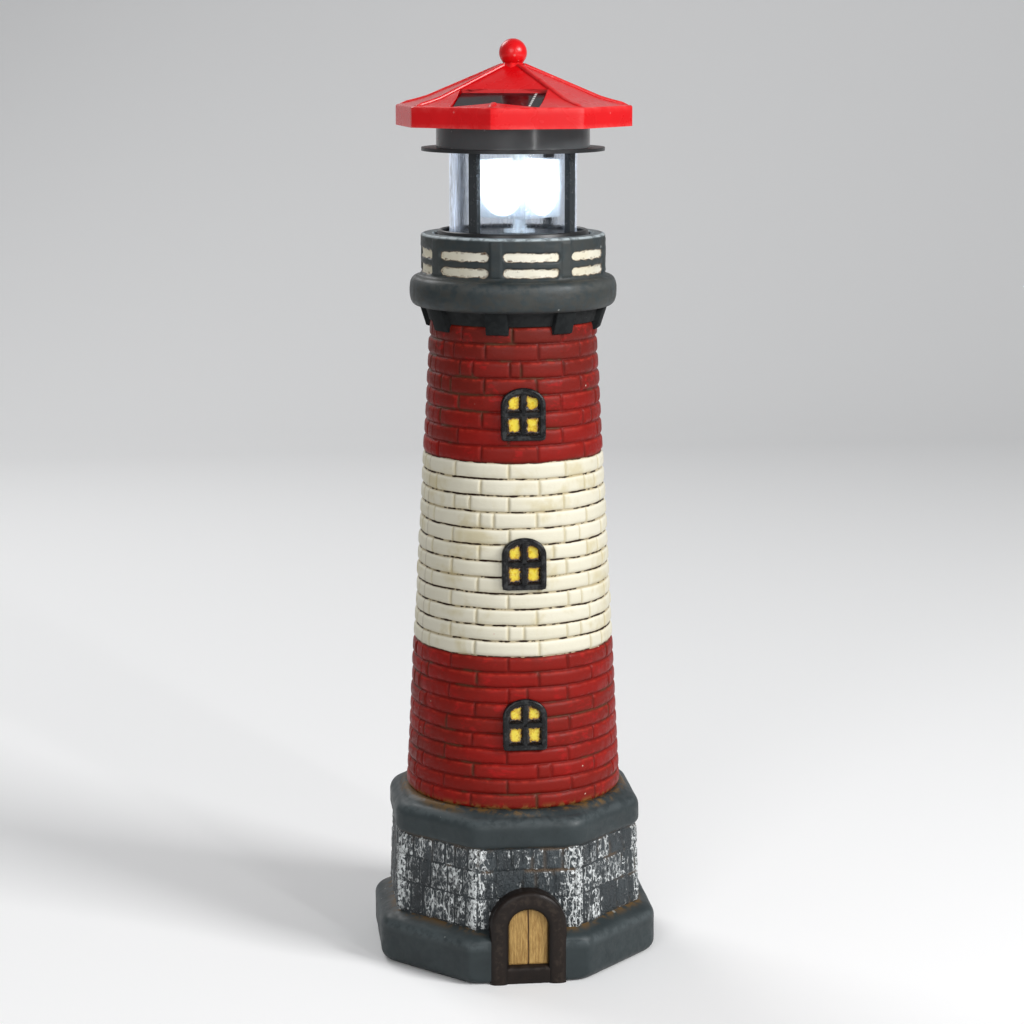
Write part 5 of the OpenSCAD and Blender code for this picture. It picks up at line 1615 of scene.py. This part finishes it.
@dataclass
class Roof:
    """Octagonal red roof with ribs on its hips, a ball, and a recess for the panel in front."""

    corner_r: float = 51.5
    turn: float = -16.8
    eave_z: float = 363.5
    rim_z: float = 372.3
    flare_run: float = 11.5
    flare_h: float = 2.2
    ball_z: float = 394.1
    ball_r: float = 5.95
    wall: float = 2.0
    fillet: float = 1.0
    rib_w: float = 2.5
    rib_h: float = 0.8
    panel_w: float = 36.6
    panel_len: float = 22.6
    panel_t: float = 1.9
    panel_slope: float = math.radians(16.0)
    back: float = 20.4
    per_side: int = 24

    @property
    def neck_z(self) -> float:
        """Height at which the slopes meet the ball's neck."""
        return self.ball_z - self.ball_r + 0.8

    @property
    def hip_r(self) -> float:
        """Distance to a corner where the straight slope starts."""
        return self.corner_r - self.flare_run

    @property
    def top_r(self) -> float:
        """Distance to a corner where the slope ends at the neck."""
        return self.ball_r - 0.75

    @property
    def slope(self) -> float:
        """Fall of a hip for each millimetre outwards."""
        return (self.neck_z - self.rim_z - self.flare_h) / (self.hip_r - self.top_r)

    @property
    def front(self) -> float:
        """Distance from the axis to the recess's front wall."""
        return self.back + self.panel_len * math.cos(self.panel_slope) + 0.6

    @property
    def floor_t(self) -> float:
        """Upright distance from the panel's upper face to the recess's floor."""
        return self.panel_t / math.cos(self.panel_slope)

    def face_z(self, u: Array | float) -> Array | float:
        """Height of the flat front face at a distance from the axis."""
        return self.neck_z - (u * math.sqrt(2) - self.top_r) * self.slope

    def panel_z(self, u: Array | float) -> Array | float:
        """Height of the panel's upper face at a distance from the axis."""
        return self.face_z(self.back) - 1.4 - (u - self.back) * math.tan(self.panel_slope)

    def surface_z(self, u: Array, v: Array) -> Array:
        """Height of the bare pyramid between the neck and the rim.

        Args:
            u: Distances from the axis towards the front corner.
            v: Distances across.

        Returns:
            The heights above the ground.
        """
        angle = np.degrees(np.arctan2(v, u)) % SIDE - SIDE / 2
        reach = np.hypot(u, v) * np.cos(np.radians(angle)) / math.cos(HALF_SIDE)
        return self.neck_z - (reach - self.top_r) * self.slope

    def to_part(self, u: Array | float, v: Array | float, z: Array | float) -> Array:
        """Points in the part's frame, from distances towards the roof's front corner and across."""
        u, v, z = np.broadcast_arrays(u, v, z)
        return raised(u[..., None] * heading(self.turn) + v[..., None] * heading(self.turn + 90), z)

    def outline(self) -> Array:
        """The roof's line from the eave up over the rim to the neck.

        Returns:
            Corner radius and height of each point.
        """
        r, rim = self.corner_r, self.rim_z
        start = np.array([r - 1.1, rim])
        middle = np.array([self.hip_r + 1.5, rim + self.flare_h - 0.4])
        stop = np.array([self.hip_r - 3.0, rim + self.flare_h + 3.0 * self.slope])
        bend = [tuple(start * (1 - t) ** 2 + middle * 2 * t * (1 - t) + stop * t * t) for t in np.linspace(0, 1, 9)]
        rim_arc = arc(r - 1.0, rim - 1.0, 1.0, 0, 80, 5)
        return evened([(r, self.eave_z), *rim_arc, *bend, (self.top_r, self.neck_z), (1.0, self.neck_z + 0.1)], 2.0)

    def shell(self) -> Shape:
        """The roof's closed shell before the recess is cut.

        Returns:
            The shape, in the part's frame.
        """
        outline, skirt = self.outline(), self.corner_r - self.wall
        above = outline[outline[:, 1] > self.rim_z - 0.05] - np.array([0.7, self.wall])
        above[:, 0] = np.minimum(above[:, 0], skirt - 0.4)
        inner = [(skirt, self.eave_z), (skirt, self.rim_z - self.wall - 1.0), *above[above[:, 0] > 0.2]]
        r, z = np.concatenate([outline, inner[::-1]]).T[..., None]
        corner, flat = np.linspace(18.0, 22.5, 5), np.linspace(-18.0, 18.0, self.per_side)
        side = np.concatenate([-corner[:0:-1], flat, corner[1:-1]])
        angles = np.concatenate([side + SIDE * k + SIDE / 2 for k in range(8)])
        local = np.radians(angles % SIDE) - HALF_SIDE
        away = r * math.cos(HALF_SIDE) * np.tan(HALF_SIDE - np.abs(local))
        soft = self.fillet * np.clip(1 - away / (self.fillet * 2.0), 0, 1) ** 2 * 0.16
        reach = r * (math.cos(HALF_SIDE) / np.cos(local)) - soft
        shape = Shape().sheet(raised(heading(angles + self.turn) * reach[..., None], z), True)
        first = np.arange(len(angles))
        last = first + shape.count - len(angles)
        shape.faces += np.stack([last, np.roll(last, -1), np.roll(first, -1), first], axis=-1).tolist()
        return shape

    def cut(self, obj: Object, section: Outline, half: float) -> None:
        """Takes a prism across the roof's front out of a piece.

        Args:
            obj: The piece.
            section: Distance from the axis and height of each corner, anticlockwise.
            half: Half the prism's width.
        """
        n = len(section)
        u, z = np.array(section).T
        points = np.concatenate([self.to_part(u, -half, z), self.to_part(u, half, z)])
        faces = [(n + i, n + (i + 1) % n, (i + 1) % n, i) for i in range(n)]
        block = bpy.data.meshes.new("block")
        block.from_pydata((points * MM).tolist(), [], [*faces, [*range(n)], [*range(n, 2 * n)][::-1]])
        tool = link("block", block)
        modifier = obj.modifiers.new("cut", "BOOLEAN")
        modifier.operation, modifier.solver, modifier.object = "DIFFERENCE", "EXACT", tool
        bpy.context.view_layer.update()
        mesh = bpy.data.meshes.new_from_object(obj.evaluated_get(bpy.context.evaluated_depsgraph_get()))
        obj.modifiers.clear()
        old, obj.data = obj.data, mesh
        bpy.data.objects.remove(tool)
        for unused in (old, block):
            bpy.data.meshes.remove(unused)

    def build_cap(self) -> None:
        """The roof's skin with the flat front face and the recess cut out."""
        cap = self.shell().make("roof_cap")
        back, front, neck = self.back, self.front, self.neck_z
        lows = [(u, self.panel_z(u) - self.floor_t - 3) for u in (back, front)]
        self.cut(cap, [*lows, (front, neck), (back, neck)], self.panel_w / 2 + 0.3)
        near, past = self.top_r / math.sqrt(2), back + 0.01
        self.cut(cap, [(near, neck), (past, self.face_z(back)), (past, neck + 5), (near, neck + 5)], 40.0)
        mesh = cap.data
        co = np.empty(len(mesh.vertices) * 3, np.float32)
        mesh.vertices.foreach_get("co", co)
        x, y, z = co.reshape(-1, 3).T / MM
        edge = bell(z - self.rim_z + 0.4, 0.9) * (np.hypot(x, y) > self.corner_r * 0.9)
        edge = edge + bell(z - self.eave_z, 0.5) * 1.3
        mesh.attributes.new("edge", "FLOAT", "POINT").data.foreach_set("value", edge.astype(np.float32))
        mesh.polygons.foreach_set("use_smooth", np.ones(len(mesh.polygons), bool))
        mesh.set_sharp_from_angle(angle=math.radians(28))
        dress(cap, FINISH.roof, Body.LAMP, "red_plastic", "roof")

    def build_front_face(self) -> None:
        """A flat plate between the two front hips, and the recess's tray under it."""
        us = np.linspace(self.back, self.top_r / math.sqrt(2), 14)[:, None]
        grid = self.to_part(us, us * np.linspace(-1, 1, 15), self.face_z(us) - 0.02)
        shape = Shape().sheet(grid, edge=0.1)
        half = self.panel_w / 2 + 0.3
        us, vs = np.linspace(self.back, self.front, 12), np.linspace(half, -half, 12)
        sides = np.full((2, 12), half) * [[-1], [1]]
        face, tops = np.full(12, self.face_z(self.back) + 0.48), self.surface_z(us, sides)
        front = self.surface_z(np.full(12, self.front), vs)
        walls = [
            (us, sides[0], tops[0]),
            (us[::-1], sides[1], tops[1][::-1]),
            (np.full(12, self.front), vs, front),
            (np.full(12, self.back), vs[::-1], face),
        ]
        climb = np.linspace(0, 1, 4)[:, None]
        for u, v, top in walls:
            low = self.panel_z(u) - self.floor_t
            shape.sheet(self.to_part(u, v, low + (top - 0.5 - low) * climb), edge=0.15)
        us = us[:, None]
        shape.sheet(self.to_part(us, np.linspace(-half, half, 6)[::-1], self.panel_z(us) - self.floor_t))
        dress(shape.make("roof_front", 30), FINISH.roof, Body.LAMP, "red_plastic", "roof")

    def build_ribs(self) -> None:
        """Soft ribs down every hip, the ball and its lumpy neck."""
        shape, outline = Shape(), self.outline()
        line = outline[(outline[:, 1] > self.rim_z + 0.02) & (outline[:, 0] > self.top_r - 0.5)]
        angles = np.radians(np.linspace(180, 0, 11))
        across = np.array([math.copysign(abs(math.cos(a)) ** 0.7, math.cos(a)) for a in angles])
        up = np.array([math.sin(a) ** 0.5 for a in angles])
        for k in range(8):
            turn = self.turn + SIDE * k
            r, z = (line if k else line[line[:, 0] > self.front + 0.6]).T[..., None]
            fade = rise(self.corner_r - 1.2 - r, 0.0, 4.0)
            width = self.rib_w / 2 * (0.75 + 0.25 * fade) * across
            plan = r[..., None] * heading(turn) + width[..., None] * heading(turn + 90)
            shape.sheet(raised(plan, z + self.rib_h * up * fade - 0.32 * (1 - up) - 0.05), edge=0.35)
        neck = [(self.top_r + 0.3, -1.6), (4.6, 0.2), (4.0, 1.0), (4.0, 2.0)]
        grid = revolve(evened([(r, self.neck_z + z) for r, z in neck], 0.5), 64)
        grid[..., :2] *= (1 + 0.05 * np.cos(np.radians(8 * (around(64) - self.turn))))[:, None]
        shape.sheet(grid, True, edge=0.3)
        angles = np.radians(np.linspace(-78, 89.5, 40))
        grid = revolve(np.stack([self.ball_r * np.cos(angles), self.ball_z + self.ball_r * np.sin(angles)], -1), 64)
        dents = np.minimum(rough(grid, 1.4, 27, 2) * 0.05, 0.0)
        grid += (grid - np.array([0, 0, self.ball_z])) / self.ball_r * dents[..., None]
        shape.sheet(grid, True, edge=0.05)
        shape.faces.append([*range(shape.count - 64, shape.count)])
        dress(shape.make("roof_ribs_and_ball", 60), FINISH.roof, Body.LAMP, "red_plastic", "roof")

    def build_panel(self) -> None:
        """The solar panel: a bevelled slab that fills the recess."""
        half, bevel, chamfer = self.panel_w / 2, 0.35, 0.25
        u0, u1 = self.back + 0.25, self.front - 0.25
        us = np.array([u0, u0 + bevel, *np.linspace(u0 + 1.2, u1 - 1.2, 10), u1 - bevel, u1])
        vs = np.array([-half, -half + bevel, *np.linspace(-half + 1.2, half - 1.2, 12), half - bevel, half])
        u, v = np.meshgrid(us[::-1], vs, indexing="ij")
        rim = (np.abs(v) == half) | (u == u0) | (u == u1)
        top = self.to_part(u, v, self.panel_z(u) - np.where(rim, chamfer, 0.02))
        shape = Shape().sheet(top, cell_u=u, cell_v=v)
        u, v = np.array([(u1, -half), (u1, half), (u0, half), (u0, -half), (u1, -half)]).T
        drops = np.array([[self.panel_t - 0.1], [chamfer]])
        shape.sheet(self.to_part(u, v, self.panel_z(u) - drops))
        dress(shape.make("solar_panel_face", 30), FINISH.cells, Body.LAMP, "solar_cell", "solar_panel")

    def build(self) -> None:
        """Builds the cap, the front, the ribs and the panel."""
        self.build_cap()
        self.build_front_face()
        self.build_ribs()
        self.build_panel()


# ------------------------------------------------------------------ lamp head from the CAD


@dataclass
class LampHead:
    """The CAD nodes whose shapes are right, by the finish that each is given."""

    nodes: dict[str, Object]
    looks: tuple[tuple[Finish, str], ...] = (
        (FINISH.black, "lamp_base base_cover battery_door lantern_floor ceiling_plate switch_knob"),
        (FINISH.battery, "battery"),
        (FINISH.steel, "contact_plate contact_spring motor motor_shaft rotor_shaft switch_body"),
        (FINISH.steel, "small_screws roof_screws"),
        (FINISH.white, "drive_plate motor_pinion rotor_gear led_holder"),
        (FINISH.brass, "rotor_bush"),
        (FINISH.hub, "rotor_hub"),
        (FINISH.frame_glow, "lens_frame"),
        (FINISH.lens, "lens_1 lens_2 lens_3 lens_4"),
        (FINISH.clear, "lantern_tube"),
        (FINISH.post, "lantern_post_1 lantern_post_2 lantern_post_3 lantern_post_4"),
        (FINISH.grey, "housing"),
        (FINISH.board, "circuit_board"),
        (FINISH.lamp, "led_bulb"),
        (FINISH.red_wire, "panel_leads lead_positive"),
        (FINISH.black_wire, "lead_negative"),
    )

    def build_rim(self) -> None:
        """The raised black rim of the lantern floor, just inside the gallery."""
        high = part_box("lantern_floor")[1]
        r, top = high[0] / MM, high[2] / MM
        crown = arc(r - 1.2, top + 0.9, 0.8, 20, 150, 6)
        outline = evened([(r - 0.1, top - 0.1), *crown, (r - 2.1, top + 1.2), (r - 2.2, top - 0.1)], 0.3)
        rim = Shape().sheet(revolve(outline, 180), True).make("lantern_floor_rim", 60)
        dress(rim, FINISH.black, Body.LAMP, "black_plastic", "")

    def build(self) -> None:
        """Adds the lantern floor's rim, and puts each finish on its nodes."""
        self.build_rim()
        for finish, names in self.looks:
            for name in names.split():
                finish.put_on(self.nodes[name])
                LOG.info("%s keeps its CAD shape in %s", name, finish.name)


# ------------------------------------------------------------------ stage


@dataclass(frozen=True)
class StudioFloor(Finish):
    """Pale floor paint, paler still to rays that show it, so that it meets the backdrop softly."""

    def paint(self, tree: Tree) -> None:
        """Pale paint with wide faint clouds.

        Args:
            tree: The material's nodes.
        """
        rays = tree.node("LightPath")
        seen = rays["Is Glossy Ray"] | rays["Is Transmission Ray"] | rays["Is Camera Ray"]
        pale = seen.mix(srgb(186, 186, 186), srgb(252, 252, 252))
        body = (tree.effect(mottled, 1.2, 0.6) * 0.06).mix(pale, srgb(214, 214, 216))
        tree.coat(body, 0.9)


@dataclass
class Stage:
    """Pale floor and backdrop, soft studio light, and the camera at the photograph's place."""

    camera_turn: float = -6.5
    camera_away: float = 1101.0
    camera_z: float = 401.5
    camera_pitch: float = 10.6
    focal: float = 89.65
    axis_px: float = 513.0
    image_px: float = 1024.0
    floor_half: float = 3000.0
    sweep_y: float = 1400.0
    sweep_r: float = 900.0
    backdrop_z: float = 3600.0
    aim_m: tuple[float, float, float] = (0.0, 0.0, 0.2)

    def build_camera(self) -> None:
        """Places the camera as it stood for the photograph."""
        data = bpy.data.cameras.new("view")
        data.lens, data.sensor_width, data.clip_start = self.focal, 36.0, 0.01
        data.shift_x = (self.image_px / 2 - self.axis_px) / self.image_px
        camera = link("view", data)
        x, y = heading(self.camera_turn) * self.camera_away * MM
        camera.location = (x, y, self.camera_z * MM)
        camera.rotation_euler = (math.radians(90 - self.camera_pitch), 0.0, math.radians(self.camera_turn))
        bpy.context.scene.camera = camera

    def build_floor(self) -> None:
        """A floor that turns up into a backdrop in one sweep."""
        turn_up = arc(self.sweep_y, self.sweep_r, self.sweep_r, -90, 0, 16)
        ends = [(-self.floor_half, 0.0), (self.sweep_y, 0.0)], [(self.sweep_y + self.sweep_r, self.backdrop_z)]
        y, z = evened([*ends[0], *turn_up, *ends[1]], 300.0).T[..., None]
        grid = space(np.linspace(-self.floor_half, self.floor_half, 13), y, z)
        floor = Shape().sheet(grid).make("studio_floor")
        StudioFloor("studio_floor").put_on(floor)
        floor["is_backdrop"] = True

    def lamp(self, name: str, at: tuple[float, float, float], width: float, height: float, power: float) -> None:
        """A soft lamp aimed at the ornament's middle.

        Args:
            name: Name of the lamp.
            at: Its place in metres.
            width: Width in metres.
            height: Height in metres.
            power: Power in watts.
        """
        data = bpy.data.lights.new(name, "AREA")
        data.shape, data.size, data.size_y, data.energy = "RECTANGLE", width, height, power
        lamp = link(name, data)
        lamp.location = at
        lamp.rotation_euler = (Vector(self.aim_m) - Vector(at)).to_track_quat("-Z", "Y").to_euler()

    def build_light(self) -> None:
        """Key, fill, strip and back lamps and a pale surrounding."""
        self.lamp("key", (1.35, -1.05, 1.15), 0.6, 0.6, 30.0)
        self.lamp("fill", (-0.6, -1.7, 0.9), 1.0, 1.0, 11.0)
        self.lamp("strip", (0.62, -1.3, 0.7), 0.05, 0.9, 3.5)
        self.lamp("back", (-0.7, 1.1, 1.3), 0.8, 0.8, 10.0)
        world = bpy.data.worlds.new("studio")
        world.use_nodes = True
        background = world.node_tree.nodes["Background"].inputs
        background["Color"].default_value = (0.95, 0.97, 1.0, 1.0)
        background["Strength"].default_value = 0.24
        bpy.context.scene.world = world
        bpy.context.scene.view_settings.view_transform = "Standard"

    def build(self) -> None:
        """Builds the camera, the floor and the light."""
        self.build_camera()
        self.build_floor()
        self.build_light()


def plain_box() -> list[list[float]]:
    """The whole object's lowest and highest corner as plain numbers."""
    return [[float(v) for v in corner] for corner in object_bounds()]


def main() -> None:
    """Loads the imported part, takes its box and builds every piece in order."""
    logging.basicConfig(level=logging.INFO, format="%(name)s: %(message)s")
    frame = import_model()
    cad_box = plain_box()
    shaft = Shaft()
    windows = [Window(number, sill, shaft) for number, sill in enumerate(shaft.windows, start=1)]
    for part in (Stage(), Foot(), shaft, *windows, Doorway(), Gallery(), Roof(), LampHead(frame["nodes"])):
        part.build()


if __name__ == "__main__":
    main()
